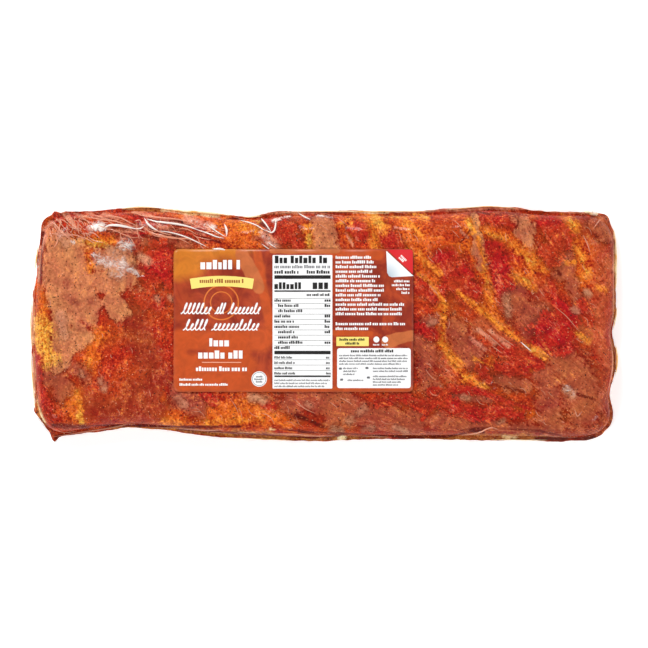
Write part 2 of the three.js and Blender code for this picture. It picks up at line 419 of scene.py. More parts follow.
# Each stroke is x, y to x, y and half width
meatZones = {
    "orange": [
        (-187, 72, -176, 66, 4), (-192, 26, -189, 8, 4.5), (-165, 58, -154, 42, 6),
        (-150, 58, -142, 54, 4), (-152, -6, -158, -30, 5.5), (-168, -48, -163, -66, 5),
        (-140, -52, -134, -54, 3.5), (-108, -60, -96, -66, 5.5), (-112, -40, -108, -56, 3.5),
        (-76, -60, -40, -62, 9), (-36, -62, -26, -66, 7), (-64, 68, -42, 54, 10), (-80, 72, -70, 62, 5),
        (-110, 76, -84, 73, 2.5), (10, 72, 16, 60, 5), (20, 74, 34, 70, 5), (30, 66, 36, 50, 6),
        (40, 74, 60, 73, 3), (54, 68, 66, 52, 7), (76, 54, 92, 51, 3.5), (64, 46, 74, 30, 6),
        (99, 62, 104, 44, 5), (104, 44, 112, 14, 5.5), (110, 62, 122, 56, 5), (130, 58, 144, 38, 7),
        (128, 36, 142, 26, 6), (140, 74, 172, 71, 2.5), (162, 68, 170, 62, 5), (168, 52, 177, 32, 8),
        (180, 58, 186, 22, 4), (78, 16, 80, -12, 4), (80, -12, 100, -38, 6), (96, 18, 116, 2, 4),
        (110, -24, 128, -30, 3), (116, 0, 148, -22, 3.5), (132, -58, 156, -68, 4),
        (138, -31, 147, -29, 1.6), (186, -60, 190, -66, 4), (158, -4, 178, -12, 3),
    ],
    "rust": [
        (176, 68, 188, 58, 8), (-152, -56, -116, -58, 10), (-126, -44, -112, -46, 6),
        (98, 76, 130, 74, 3), (-130, 8, -112, -34, 10), (194, 70, 196, 10, 3.4), (195, 0, 194, -60, 3.4),
        (60, 79, 134, 79, 3), (60, -77, 188, -76, 4), (-196, 50, -190, 72, 3),
    ],
    "russet": [
        (188, 46, 188, -24, 8), (172, 2, 186, -16, 7), (186, -56, 188, -24, 7), (144, 22, 148, 8, 7),
        (146, 4, 150, -1, 4), (104, 0, 124, -12, 6), (122, -12, 136, -12, 4), (74, -22, 82, -34, 5),
    ],
    "brown": [
        (168, -32, 176, -60, 15), (150, -38, 152, -66, 9), (164, 44, 160, 34, 6), (128, 22, 140, 2, 10),
        (88, -4, 100, -24, 9), (64, -12, 70, -36, 9), (112, -36, 136, -42, 5), (86, -49, 110, -51, 2.6),
        (76, -66, 140, -71, 5.5), (166, 26, 172, 12, 5), (-20, -50, 22, -60, 11), (26, -62, 62, -66, 9),
        (-184, -34, -176, -42, 7), (-166, -30, -160, -34, 5), (-100, -48, -84, -56, 6),
        (-128, 60, -92, 54, 5), (-140, 62, -126, 58, 4), (-132, 50, -124, 40, 5), (-42, 60, -30, 50, 4),
        (60, -2, 76, 4, 3), (184, 66, 190, 58, 5),
    ],
    "red": [
        (-121, 42, -116, 26, 6), (-114, 44, -104, 30, 7), (-110, 54, -104, 46, 6),
        (-126, 18, -112, 14, 6), (-192.5, -20, -192, -50, 3.2), (-189, -46, -184, -60, 3.6),
        (-182, 74, -172, 62, 3), (-170, 72, -162, 62, 4), (-140, 61, -112, 60, 1.8),
        (-136, 74, -126, 71, 3), (-110, 66, -84, 60, 1.8), (-100, 62, -78, 56, 1.4),
        (-32, 68, -18, 52, 8), (16, 67, 26, 60, 5), (41, 60, 48, 51, 6), (62, 26, 74, 20, 6),
        (62, -2, 74, -8, 4), (82, 38, 98, 22, 10), (106, 72, 128, 68, 5), (114, 52, 120, 30, 7),
        (118, 30, 120, 14, 4), (152, 68, 158, 54, 8.5), (150, 50, 156, 44, 6), (154, 27, 156, 15, 3.5),
        (160, 12, 168, 2, 5), (172, 14, 178, 2, 4), (150, -4, 164, -10, 9), (142, -14, 160, -17, 4),
        (122, -17, 142, -24, 5.5), (106, -30, 112, -36, 6), (116, -28, 132, -31, 5),
        (84, -43, 108, -46, 3), (76, -50, 94, -56, 5), (90, -58, 132, -61, 5), (106, -46, 138, -57, 1.6),
        (36, -54, 56, -48, 3), (56, -51, 66, -56, 4), (72, -45, 84, -49, 3), (66, -64, 74, -54, 1.5),
        (-41, -53, -34, -56, 3), (-80, -46, -74, -54, 3), (140, 75, 180, 74.5, 1.6),
    ],
    "tan": [
        (-181, 57, -180, 22, 9), (-170, 44, -166, 10, 12), (-150, 28, -134, 30, 9),
        (-157, 20, -158, 4, 7.5), (-142, 16, -137, 9, 6.5), (-174, 8, -172, -16, 8),
        (-170, 2, -160, -8, 5.5), (-178, 26, -179, -14, 6), (-166, -14, -180, -28, 5),
        (-150, 42, -134, 44, 8), (0, 71, 1, 53, 9), (103, 60, 106, 38, 3.5), (101, 74, 102, 67, 2.4),
        (132, 69, 138, 57, 6.5),
    ],
    "fat": [
        (-143, 58, -144, 52, 2), (-159, 48, -157, 36, 2), (-157, -24, -158, -29, 1),
        (-166, -46, -163, -58, 1.4), (-78, -66, -42, -64, 2), (-108, -66, -98, -67, 2),
        (-54, 66, -44, 62, 2.2), (-11, 66, -10, 50, 2.6), (10, 66, 16, 70, 2.6), (32, 73, 40, 64, 3.4),
        (33, 62, 35, 50, 2.6), (60, 75, 69, 73, 2.6), (54, 70, 64, 60, 2.2), (56, 50, 60, 46, 1.6),
        (65, 48, 69, 40, 1.6), (74, 38, 76, 34, 2.4), (64, 33, 70, 29, 1.2), (70, 29, 79, 17, 1.2),
        (79, 14, 81, 2, 2), (81, 2, 79, -12, 1.6), (79, -12, 86, -22, 1.8), (86, -22, 95, -36, 2.8),
        (95, -34, 110, -43, 1.5), (90, 21, 96, 17, 1.4), (96, 17, 106, 9, 2), (106, 9, 118, -2, 1.2),
        (118, -2, 130, -10, 1.7), (130, -10, 148, -22, 1.8), (98, 70, 100, 62, 2),
        (103, 58, 108, 40, 1.6), (107, 40, 112, 16, 2.4), (110, 61, 122, 58, 2), (129, 53, 142, 40, 3.4),
        (129, 33, 141, 24, 2.8), (136, 42, 145, 36, 2.6), (165, 71, 170, 65, 2.2), (171, 50, 177, 33, 3),
        (163, 41, 170, 42, 1.4), (170, -6, 178, -12, 1.3), (101, -23, 114, -29, 1),
        (184, 25, 190, 22, 2),
    ],
    "gold": [
        (-190, 0, -188, -14, 7.5), (-187, -14, -185, -25, 5), (-194, 4, -193, -14, 4),
        (-165, -61, -163, -67, 1.7), (-158, 56, -147, 53, 2.4), (-47, 73, -44, 70, 1.8),
        (12, 68, 15, 66, 1.6), (34, 72, 38, 67, 1.8), (64, 74.5, 68, 74, 2), (46, 73.5, 50, 73, 1.4),
        (-10, 60, -10, 52, 1.4), (97, 70, 98.5, 64, 0.9), (135, 45, 141, 40, 1.3),
        (134, 31, 139, 27, 0.9), (112, 60, 116, 58, 1.1), (107, 40, 110, 28, 0.7),
        (173, 44, 177, 35, 1.1), (166, 70, 168, 66, 1), (91, -32, 94, -36, 0.9),
        (136, -14, 141, -18, 0.9),
    ],
    "pale": [
        (-150, 43, -130, 38, 3.1), (-144, 50, -134, 46, 3.1), (-142, 34, -138, 32, 2.8),
        (-150, -38, -148, -44, 2.3), (-163, -32, -162, -35, 2), (-113, 18, -111, 16, 1.6),
        (-104, 18, -102, 16, 1.6), (-98, -50, -94, -54, 2.3), (-47, -49, -41, -50, 3.1),
        (-12, -54, -9, -55, 2.5), (27, -56, 23, -60, 2.7), (19, -64, 17, -66, 2.3),
        (27, -71, 33, -70, 2.3), (6, -71, 12, -72, 1.9), (48, -69.5, 56, -73, 1.5), (71, 0, 74, 2, 1.6),
        (168, 10, 170, 8, 1.9), (176, 22, 179, 20, 1.9), (162, -43, 167, -47, 2.3),
        (117, -66, 121, -64.5, 1.7), (93, -49, 97, -50, 1.6), (122, 19, 124, 6, 2.4),
        (-178, 60, -174, 54, 3), (-177, 5, -174, -7, 3.6),
    ],
    # Painted sheen: salmon bands where the film's folds and wrinkles catch the light, and pale lines along
    # the rim
    "paintedSheen": [
        (-186, 69, -176, 62, 1.2), (-178, 76, -166, 64, 1), (-190, 64, -184, 68, 1.2),
        (-188, 58, -190.5, 50, 1.2), (-174, 75, -168, 67, 0.8), (-170, 75, -150, 70.5, 1),
        (-162, 76, -138, 68.5, 1), (-150, 75, -126, 65.5, 1.2), (-144, 63, -126, 61.5, 1.6),
        (-130, 76, -112, 71.6, 1), (-112, 71.6, -84, 66, 1.2), (-123, 66, -112, 60.4, 1.2),
        (-112, 60.4, -90, 57, 1.3), (-112, 66, -80, 60, 1), (-92, 71, -78, 66, 2),
        (-40, 60, -32, 51, 2.4), (14, 62, 20, 52, 0.8), (92, 62, 97, 58, 0.8),
        (-192.5, 52, -193, 30, 1.6), (104, -4, 115, -13, 1.3), (112, -5, 124, -15, 1.4),
        (98, -9, 108, -17, 1.3), (-124, 46, -118, 42, 2.2), (-56, 75.4, 20, 76.6, 1.2),
        (20, 76.6, 60, 76.8, 1.2), (60, 77.2, 124, 79.5, 1.4), (124, 79.3, 180, 76, 1.1),
        (197, 66, 197.6, 50, 1.3), (197, 40, 197.4, 8, 1),
    ],
    "side": [
        (-100, -71.5, -60, -75, 2.2), (-60, -74, -20, -77, 3), (-20, -77, 12, -77.5, 2.4),
        (12, -77, 42, -77, 1.6), (70, -78.5, 150, -77.5, 2), (96, -75, 140, -75.5, 2),
        (-134, 79, -62, 75.5, 2), (198, 36, 198, 24, 2), (197, 22, 197, 4, 2), (198, -12, 197, -34, 3),
        (-196, -50, -190, -66, 2.4), (-144, -71, -100, -70, 1.4),
    ],
    # Cream at the rim: fat under the film, painted pale where light shows through the edge
    "cream": [
        (-110, 77.2, -72, 73.6, 1.2), (-136, 78.8, -130, 78.8, 1.4), (-60, 74.6, -44, 74.6, 0.9),
        (20, 76, 44, 75.8, 0.7), (197.8, 53, 198, 37, 1.7), (197.2, 65, 197.6, 58, 0.7),
        (-197.4, 14, -198, -14, 0.9), (-197.4, -20, -196.8, -46, 0.9), (-195, -52, -189, -66, 1),
        (-36, -70.4, -33, -71, 0.9), (-58, -73.4, -46, -74, 0.5), (11, -77.2, 14, -77, 1.4),
        (122, -76.4, 130, -77.2, 1.4), (181, 75.5, 185, 75.5, 1),
    ],
    # Dark red lines, mostly painted shade beside the film's folds and along the near edge where the top
    # rolls over; the meat is grooved along them too
    "shadeLines": [
        (-18, -61, -1, -69, 1.6), (-191, 62, -190.6, 27, 0.8), (-182, -68, -160, -69.6, 1.8),
        (-158, -68.6, -100, -69.4, 0.8), (-100, -69.4, -56, -69, 0.8), (-100, -71.4, -70, -72.4, 0.7),
        (-70, -72.8, -30, -75.6, 0.8), (-30, -75.6, -8, -77.2, 0.8), (-8, -77.2, 10, -75.6, 0.7),
        (-30, -70.2, -12, -72.8, 0.8), (-12, -72.8, 28, -74.8, 0.8), (28, -74.8, 60, -77.2, 0.8),
        (60, -76.8, 84, -76.4, 0.9), (84, -76.2, 104, -71.4, 0.8), (92, -71.4, 112, -69.8, 0.8),
        (112, -69.8, 146, -72, 0.8), (146, -72, 160, -75.4, 0.7), (144, -78, 188, -77.8, 1.6),
        (-182, -77, -144, -73, 1.4), (96, -71, 108, -73, 1.2), (122, -42, 134, -46, 1),
        (170, -47, 182, -51, 1), (92, 55, 99, 64, 0.5), (104, 76, 112, 74, 0.8), (131, 72, 130, 66, 1),
        (157, 36, 159, 33, 0.9), (-180, 70, -172, 63, 0.6), (-184, 71, -178, 65, 0.5),
        (-170, 71, -160, 70, 0.6), (-160, 73, -140, 70, 0.6), (-148, 71.6, -128, 67.4, 0.6),
        (-132, 68, -124, 66.8, 0.8), (-146, 62, -126, 60, 0.9), (-121, 65, -112, 61.6, 0.6),
        (-118, 70.4, -96, 69, 0.7), (-96, 67.8, -80, 63, 0.6), (-84, 59, -70, 55, 0.8),
        (-66, 71, -58, 72, 0.6), (-123, 60, -112, 57.5, 1), (-112, 62, -100, 59, 0.8),
        (-104, 65, -84, 61, 0.8), (-42, 68, -37, 64, 1),
    ],
}


def seasonedPork():
    # Raw pork rubbed with paprika and pressed by the film: wet, mottled lean, fat and patches of spice
    material, tree = newMaterial("RawPorkWithPaprikaRub")
    place = addNode(tree, "ShaderNodeTexCoord").outputs["Object"]
    fibreWay = addNode(tree, "ShaderNodeAttribute", attribute_name="fibreWay").outputs["Vector"]
    patterns = {}
    for name, way, size, detail, twist in (
        ("drift", place, 26, 2, 0.8),
        ("mottle", place, 11, 3, 1.0),
        ("fibre", fibreWay, 2.4, 3, 0.3),
        ("grain", place, 1.6, 2, 0.4),
    ):
        raw = addNode(tree, "ShaderNodeTexNoise", {
            "Vector": way, "Scale": perMetre(size), "Detail": detail,
            "Roughness": 0.65, "Distortion": twist,
        })
        # Stretched to run from -0.5 to 0.5
        patterns[name] = addNode(tree, "ShaderNodeMapRange", {
            0: raw, 1: 0.32, 2: 0.68, 3: -0.5, 4: 0.5,
        })

    def varied(start, **shares):
        # Adds each pattern to a value by its share
        total = start
        for name, share in shares.items():
            total = addNode(tree, "ShaderNodeMath", {
                0: patterns[name], 1: share, 2: total,
            }, operation="MULTIPLY_ADD")
        return total

    granular = varied(0.5, mottle=0.35, fibre=0.3, grain=0.9)
    streaky = varied(0.5, mottle=0.4, fibre=0.7, grain=0.7)
    smooth = varied(0.5, drift=0.4, mottle=0.6, fibre=0.3, grain=0.35)
    colour = addNode(tree, "ShaderNodeMix", {
        0: granular, 6: hexColour("#8C1C0A"), 7: hexColour("#DC4A18"),
    }, data_type="RGBA").outputs[2]
    # From below: name, tone, its two colours, how ragged its edge is and how soft
    layers = [
        ("orange", granular, "#B43208", "#F67A22", 0.9, 0.6),
        ("rust", smooth, "#8A2410", "#B6401E", 0.7, 0.6),
        ("russet", smooth, "#A6381A", "#D46038", 0.7, 0.6),
        ("brown", smooth, "#943A28", "#C05C38", 0.7, 0.4),
        ("red", granular, "#96180E", "#D2361E", 0.7, 0.3),
        ("tan", smooth, "#AE5A3C", "#E08E5A", 0.45, 0.25),
        ("fat", streaky, "#C0460A", "#FF9C32", 1.2, 0.8),
        ("gold", granular, "#CC560C", "#FFC04A", 0.8, 0.6),
        ("pale", smooth, "#A85C40", "#CC8866", 0.7, 1.0),
        # Painted sheen of the film's folds and rim
        ("paintedSheen", smooth, "#C4664A", "#EFA07C", 0.3, 0.7),
        ("side", streaky, "#8E3816", "#D4863E", 0.5, 0.6),
        # Cream: fat colour with painted light from the edge
        ("cream", smooth, "#ECB468", "#FFF0C4", 0.4, 0.6),
        # Painted shade along the folds and grooves
        ("shadeLines", smooth, "#560F06", "#84200F", 0.4, 0.6),
        ("bone", smooth, "#A4694A", "#DCB08A", 0.4, 0.3),
    ]
    grooveLines = 0.0
    for name, tone, dark, light, ragged, soft in layers:
        zone = addNode(tree, "ShaderNodeAttribute", attribute_name=name).outputs["Fac"]
        broken = varied(zone, mottle=ragged * 0.4, fibre=ragged * 0.3, grain=ragged * 0.35)
        mask = addNode(tree, "ShaderNodeMapRange", {
            0: broken, 1: 0.5 - soft / 2, 2: 0.5 + soft / 2,
        }, interpolation_type="SMOOTHSTEP")
        tint = addNode(tree, "ShaderNodeMix", {
            0: tone, 6: hexColour(dark), 7: hexColour(light),
        }, data_type="RGBA").outputs[2]
        colour = addNode(tree, "ShaderNodeMix", {
            0: mask, 6: colour, 7: tint,
        }, data_type="RGBA").outputs[2]
        if name in ("brown", "red", "tan", "pale"):
            # A dark line where one muscle meets the next: painted shade in the groove that the bump cuts
            # there
            apart = addNode(tree, "ShaderNodeMath", {0: broken, 1: 0.42, 2: 0.05}, operation="COMPARE")
            grooveLines = addNode(tree, "ShaderNodeMath", {0: apart, 1: grooveLines}, operation="MAXIMUM")
    paintedGrooveShade = addNode(tree, "ShaderNodeMath", {0: grooveLines, 1: 0.4}, operation="MULTIPLY")
    colour = addNode(tree, "ShaderNodeMix", {
        0: paintedGrooveShade, 6: colour, 7: hexColour("#5A140A"),
    }, data_type="RGBA").outputs[2]
    # Thin pale lines along the fibres, where the fibre pattern crosses its middle value: painted
    # highlights of fine wrinkles in the film
    crossing = addNode(tree, "ShaderNodeMath", {0: patterns["fibre"]}, operation="ABSOLUTE")
    thread = addNode(tree, "ShaderNodeMapRange", {0: crossing, 1: 0.0, 2: 0.06, 3: 1.0, 4: 0.0})
    here = addNode(tree, "ShaderNodeMapRange", {0: patterns["mottle"], 1: -0.1, 2: 0.3, 3: 0.0, 4: 0.5})
    paintedWrinkleLight = addNode(tree, "ShaderNodeMath", {0: thread, 1: here}, operation="MULTIPLY")
    colour = addNode(tree, "ShaderNodeMix", {
        0: paintedWrinkleLight, 6: colour, 7: hexColour("#F09A78"),
    }, data_type="RGBA").outputs[2]
    # The rub is redder in some places and yellower in others
    fibres = addNode(tree, "ShaderNodeMapRange", {
        0: patterns["fibre"], 1: -0.5, 2: 0.5, 3: 0.9, 4: 1.1,
    })
    colour = addNode(tree, "ShaderNodeHueSaturation", {"Color": colour, "Value": fibres})
    hue = addNode(tree, "ShaderNodeMapRange", {
        0: patterns["drift"], 1: -0.5, 2: 0.5, 3: 0.494, 4: 0.506,
    })
    value = addNode(tree, "ShaderNodeMapRange", {
        0: patterns["mottle"], 1: -0.5, 2: 0.5, 3: 0.92, 4: 1.08,
    })
    colour = addNode(tree, "ShaderNodeHueSaturation", {"Color": colour, "Hue": hue, "Value": value})
    # Painted shade: the colour is lighter on each granule's top and darker in the hollows between granules
    granules = addNode(tree, "ShaderNodeTexVoronoi", {"Vector": place, "Scale": perMetre(1.9)})
    hollowShade = addNode(tree, "ShaderNodeMapRange", {0: granules, 1: 0.15, 2: 0.75, 3: 1.18, 4: 0.9})
    colour = addNode(tree, "ShaderNodeHueSaturation", {"Color": colour, "Value": hollowShade})
    # Ground spice: dark and light specks finer than a millimetre, drawn a little coarse so that they show.
    # The palest, sparsest specks are painted glints of the wet surface.
    for size, hexCode, reach in ((2.9, "#3A0C05", 0.2), (2.4, "#F0884A", 0.18), (4.6, "#F4AE88", 0.1)):
        cells = addNode(tree, "ShaderNodeTexVoronoi", {"Vector": place, "Scale": perMetre(size)})
        dot = addNode(tree, "ShaderNodeMapRange", {0: cells, 1: reach, 2: reach * 0.5, 3: 0.0, 4: 0.75})
        colour = addNode(tree, "ShaderNodeMix", {
            0: dot, 6: colour, 7: hexColour(hexCode),
        }, data_type="RGBA").outputs[2]
    height = addNode(tree, "ShaderNodeMath", {
        0: granules, 1: -0.9, 2: patterns["grain"],
    }, operation="MULTIPLY_ADD")
    height = addNode(tree, "ShaderNodeMath", {
        0: patterns["fibre"], 1: 0.8, 2: height,
    }, operation="MULTIPLY_ADD")
    height = addNode(tree, "ShaderNodeMath", {0: grooveLines, 1: -0.7, 2: height}, operation="MULTIPLY_ADD")
    rough = addNode(tree, "ShaderNodeBump", {"Strength": 0.9, "Distance": 0.5 * mm, "Height": height})
    # The coat is the film itself, drawn smooth over the grains and lifting off them towards the rim
    wetness = addNode(tree, "ShaderNodeAttribute", attribute_name="wetness").outputs["Fac"]
    surface = addNode(tree, "ShaderNodeBsdfPrincipled", {
        "Base Color": colour,
        "Roughness": 0.5,
        "Specular IOR Level": 0.05,
        "Normal": rough,
        "Coat Weight": wetness,
        "Coat Roughness": 0.12,
    })
    addNode(tree, "ShaderNodeOutputMaterial", {"Surface": surface})
    return material


def fibreWay(x, y, level):
    # Muscle fibres run across the rack: straight at the left end, leaning more and more at the right
    onRight = ease(-60, 60, x)
    lean = onRight * (0.91 * y - 0.0037 * y ** 2)
    return np.stack([x + lean, y * (0.55 - 0.33 * onRight), 0.6 * level], -1) * mm


def wallShift(x, y, level):
    # Down the walls a zone wanders sideways and thins out, so that it doesn't hang as a straight band
    wall = ease(20, 10, level)
    down = 2.2 * level
    sideways = 11 * wall * (softNoise(x + y, down, 8, 52) - 0.5)
    endways = 11 * wall * (softNoise(x - y, down, 8, 53) - 0.5)
    thinned = 1 - 0.55 * wall * softNoise(x - y, down, 9, 54)
    return x + sideways, y + endways, thinned


def makeMeat():
    x, y, depth = fineGrid(meat["edge"])
    clearance = meat["clearance"]
    level = topLevel(x, y, depth, clearance)
    wallX, wallY, thinned = wallShift(x, y, level)
    fields = {}
    for name, strokes in meatZones.items():
        where = (x, y) if name in ("side", "cream", "shadeLines", "paintedSheen") else (wallX, wallY)
        fields[name] = strokeField(*where, strokes, meat["raggedness"], seed=11)
    for name in ("orange", "tan", "fat", "gold"):
        fields[name] = fields[name] * thinned
    granular = np.clip(np.maximum(fields["red"], fields["fat"]) * 2 - 0.6, 0.15, 1)
    relief = meat["granuleHeight"] * (softNoise(x, y, meat["granule"], 3) - 0.5) * granular
    relief += meat["lumpHeight"] * (softNoise(x, y, 8, 4) - 0.5)
    for name in ("tan", "brown", "red"):
        relief -= meat["grooveDepth"] * hump(fields[name], 0.46, 0.06)
    relief -= 0.3 * ease(0.4, 0.9, fields["shadeLines"])
    inside = ease(0, 8, depth - pack["rimWidth"])
    top = level + np.clip(relief, -1.5, 0.35) * inside
    bottom = undersideLevel(x, y, depth, clearance) + 0.3 * softNoise(x, y, 4, 5) * inside
    piece = closedSheets("SeasonedRibs", x, y, top, bottom, centre)

    # The bone side: pale ribs show through the membrane, with fat and spice between them
    nowhere = 0 * x
    below = {}
    for name, (strength, lump, seed) in meat["below"].items():
        below[name] = strength * softNoise(x, y, lump, seed)
    below["pale"] = below["pale"] - 0.3
    fromCrest = offCrest(x, y) + 0.24 * (softNoise(x, y, 8, 27) - 0.5)
    below["bone"] = 0.85 * ease(0.36, 0.12, fromCrest) * ease(8, 20, depth)
    for name in [*meatZones, "bone"]:
        values = [fields.get(name, nowhere).ravel(), below.get(name, nowhere).ravel()]
        writeAttribute(piece, name, np.concatenate(values))
    wetness = 0.05 + 0.55 * ease(9, 21, depth)
    writeAttribute(piece, "wetness", np.tile(wetness.ravel(), 2))
    ways = piece.data.attributes.new("fibreWay", "FLOAT_VECTOR", "POINT")
    both = np.concatenate([fibreWay(x, y, top).ravel(), fibreWay(x, y, bottom).ravel()])
    ways.data.foreach_set("vector", both.astype(np.float32))
    piece.data.materials.append(seasonedPork())
    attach(piece, "root")
    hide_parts("sealed_pack")
    return piece


ribsOfPork = makeMeat()
print("meat:", len(ribsOfPork.data.polygons), "faces")


# The clear bag: one sheet above and one below, drawn onto the meat and sealed round the rim

film = {
    "rimWave": 0.7,
    "foldHeight": 0.5,
    "foldHalfWidth": 1.6,
    "flatHaze": 0.001,
    "foldHaze": 0.05,
    "rimHaze": 0.03,
    "creaseRise": 0.1,
    "creaseStep": 2,
}

# Folds of the film, each a half width and x, y points. Their near-white colour is a painted highlight
# where each fold catches the light.
filmCreases = [
    (0.75, [(-121, 71.5), (-118.5, 67.5), (-115, 64.5), (-111, 62.5)]),
    (0.45, [(-111, 62.5), (-106, 62), (-100, 60.8), (-93, 58.6), (-86, 55.5), (-79, 52)]),
    (0.7, [(-120, 71), (-114, 69.2), (-108, 68.3), (-100, 67.4), (-92, 65.8), (-84, 63)]),
    (0.5, [(-86, 63.6), (-78, 61), (-72, 58.6), (-67, 57.6)]),
    (0.85, [(-149, 64), (-145, 66.2), (-140, 66.4), (-133, 65.4), (-126, 63.8)]),
    (0.4, [(-128, 64.2), (-123.5, 64.2), (-121, 66)]),
    (0.8, [(-76, 50.2), (-70, 50.4), (-65, 49.4)]),
    (0.8, [(-67, 67.4), (-65.4, 63), (-65.6, 59)]),
    (0.4, [(-65.6, 59), (-68, 59.6), (-74, 63.5), (-78.5, 67)]),
    (0.6, [(-42.8, 71.8), (-39, 67), (-35.5, 61.8)]),
    (0.6, [(-39, 63), (-35.5, 61.4), (-33.4, 62.8), (-32.6, 66), (-32.4, 70)]),
    (0.4, [(-58, 70.6), (-50, 68.2), (-45, 66.2), (-41, 63.6), (-38, 62.4)]),
    (0.7, [(-17.8, 76), (-14, 72.8), (-9, 70.2)]),
    (0.4, [(132, -12), (139, -18.2)]),
    (0.3, [(-42, 54), (-38, 51), (-34, 48.6)]),
    (0.3, [(-38, 55), (-32, 51)]),
]

# Soft folds, only a little paler than the meat below them: a faint painted sheen where they catch the
# light
filmFolds = [
    (0.6, [(-186, 69.5), (-181, 67), (-176.5, 61.6), (-172, 58), (-169, 55.6)]),
    (0.5, [(-178, 76), (-172, 69), (-166, 64)]),
    (0.4, [(-174, 75), (-170, 70), (-168, 67)]),
    (0.4, [(-182, 73), (-176, 66), (-172, 62)]),
    (0.5, [(-190, 63), (-186, 67), (-182.5, 69)]),
    (0.5, [(-187, 60), (-189, 56), (-190, 50)]),
    (0.5, [(-170, 75), (-160, 72.5), (-150, 70.5), (-140, 69), (-133, 66.8), (-126, 65)]),
    (0.5, [(-162, 76), (-150, 71.7), (-138, 68.6)]),
    (0.5, [(-150, 75), (-144, 73), (-137, 71.5), (-131, 68.5), (-125, 65.6)]),
    (0.4, [(-156, 76), (-148, 73.4), (-140, 71)]),
    (0.4, [(-128, 69), (-124, 70), (-122, 66)]),
    (0.6, [(-123, 66.4), (-118, 62.6), (-112, 60), (-106, 58.6), (-100, 57.6), (-92, 57.4), (-86, 55.2)]),
    (0.5, [(-119, 68), (-114, 63.8), (-109, 61.4), (-102, 59.6)]),
    (0.6, [(-130, 76), (-124, 73.6), (-118, 72.5), (-110, 71.6), (-100, 70.6), (-92, 69), (-84, 65.6)]),
    (0.4, [(-104, 59), (-96, 56.8), (-90, 53.8)]),
    (0.5, [(-110, 76.6), (-96, 74.4), (-84, 71.4)]),
    (0.4, [(-62, 73), (-54, 71), (-48, 70.5)]),
    (0.4, [(0, 75), (8, 73.4), (14, 73)]),
    (0.3, [(196, -14), (198, -22), (197.4, -32)]),
    (0.5, [(-196.6, 28), (-197.4, 14), (-198, 0), (-197.8, -14)]),
    (0.5, [(-197.8, -14), (-197.2, -28), (-196.4, -44), (-194.6, -54)]),
    (0.5, [(-186, -77), (-165, -73.6), (-150, -71.4), (-140, -69.6), (-132, -67.6), (-128, -68.4)]),
    (0.4, [(-184, -70), (-176, -73.4), (-168, -73)]),
    (0.4, [(-118, -70.4), (-100, -70.6), (-80, -71.6), (-66, -71.2)]),
    (0.4, [(-40, -74), (-20, -74.2), (-8, -75.4), (8, -75.4)]),
    (0.4, [(18, -75.6), (34, -76.2), (46, -77)]),
    (0.5, [(92, -75.4), (104, -73.2), (109, -70.6), (113, -69.6), (117, -71)]),
    (0.3, [(146, -74.6), (156, -76), (172, -76.6)]),
    (0.4, [(168, -57), (170, -62), (173, -58.6)]),
    (0.4, [(174, 60), (177, 54), (179, 48)]),
    (0.4, [(181, 64), (186, 70), (190, 72.6)]),
    (0.3, [(104, -3), (112, -9), (121, -17)]),
    (0.3, [(112, -14), (120, -20)]),
    (0.3, [(118, -8), (128, -15)]),
    (0.3, [(70, 27), (76, 20)]),
    (0.3, [(-20, -50), (-14, -56), (-6, -60)]),
    (0.3, [(10, -49), (16, -52), (20, -55)]),
    (0.25, [(155, 12), (163, 5), (171, -4.5)]),
]

# Milky film over trapped air in some patches and a painted reflection of a softbox in others: x, y to x,
# y, half width and strength
filmMilkAndGlare = [
    (-155, 65, -151, 65.5, 3, 1.1), (-169.4, 56, -168, 54.6, 1, 1.2), (-151, 64, -147, 63.6, 1.6, 1.1),
    (-134, 54, -131, 53, 3.6, 0.95), (-156, 47, -154, 46, 1.8, 0.9), (-150, 43, -134, 39, 4.4, 0.9),
    (-132, 39, -125, 33, 2, 0.8), (-142, 34, -137, 34, 3, 0.7), (-75, 66, -74, 65, 1.5, 1.2),
    (-74, 50.4, -66, 50, 1.2, 1.2), (-34, 70, -30, 71, 1.4, 1.2), (-30, 71.6, -23, 73, 1, 0.9),
    (-4, 73.6, 5, 71.4, 1.2, 1.0), (-90, 70, -80, 67, 2, 0.7), (-40, 60, -34, 52, 2.2, 0.55),
    (-195, 50, -194, 33, 1.8, 0.7), (162, -42, 167, -46.5, 2.8, 0.62), (182, 75.5, 185, 75.5, 1.2, 1.0),
]

# Fine folds too many to place by hand: how many, the box they start in, how long they are, how far
# they lean, half width and seed
fineFolds = [
    (46, (64, -66, 178, 68), (3, 8), 0.9, 0.18, 71),
    (16, (-186, -62, -104, 40), (2, 6), 0.3, 0.16, 72),
    (14, (-96, -66, 60, -50), (5, 12), 1.6, 0.16, 73),
    (12, (-4, 54, 96, 72), (4, 10), 0.7, 0.16, 74),
    (46, (-186, 58, -70, 75), (5, 14), 2.4, 0.3, 75),
    (26, (-188, 60, -162, 75), (3, 9), 0.9, 0.34, 76),
    (70, (-174, 60, -156, 75), (1.5, 4), 1, 0.24, 77),
]


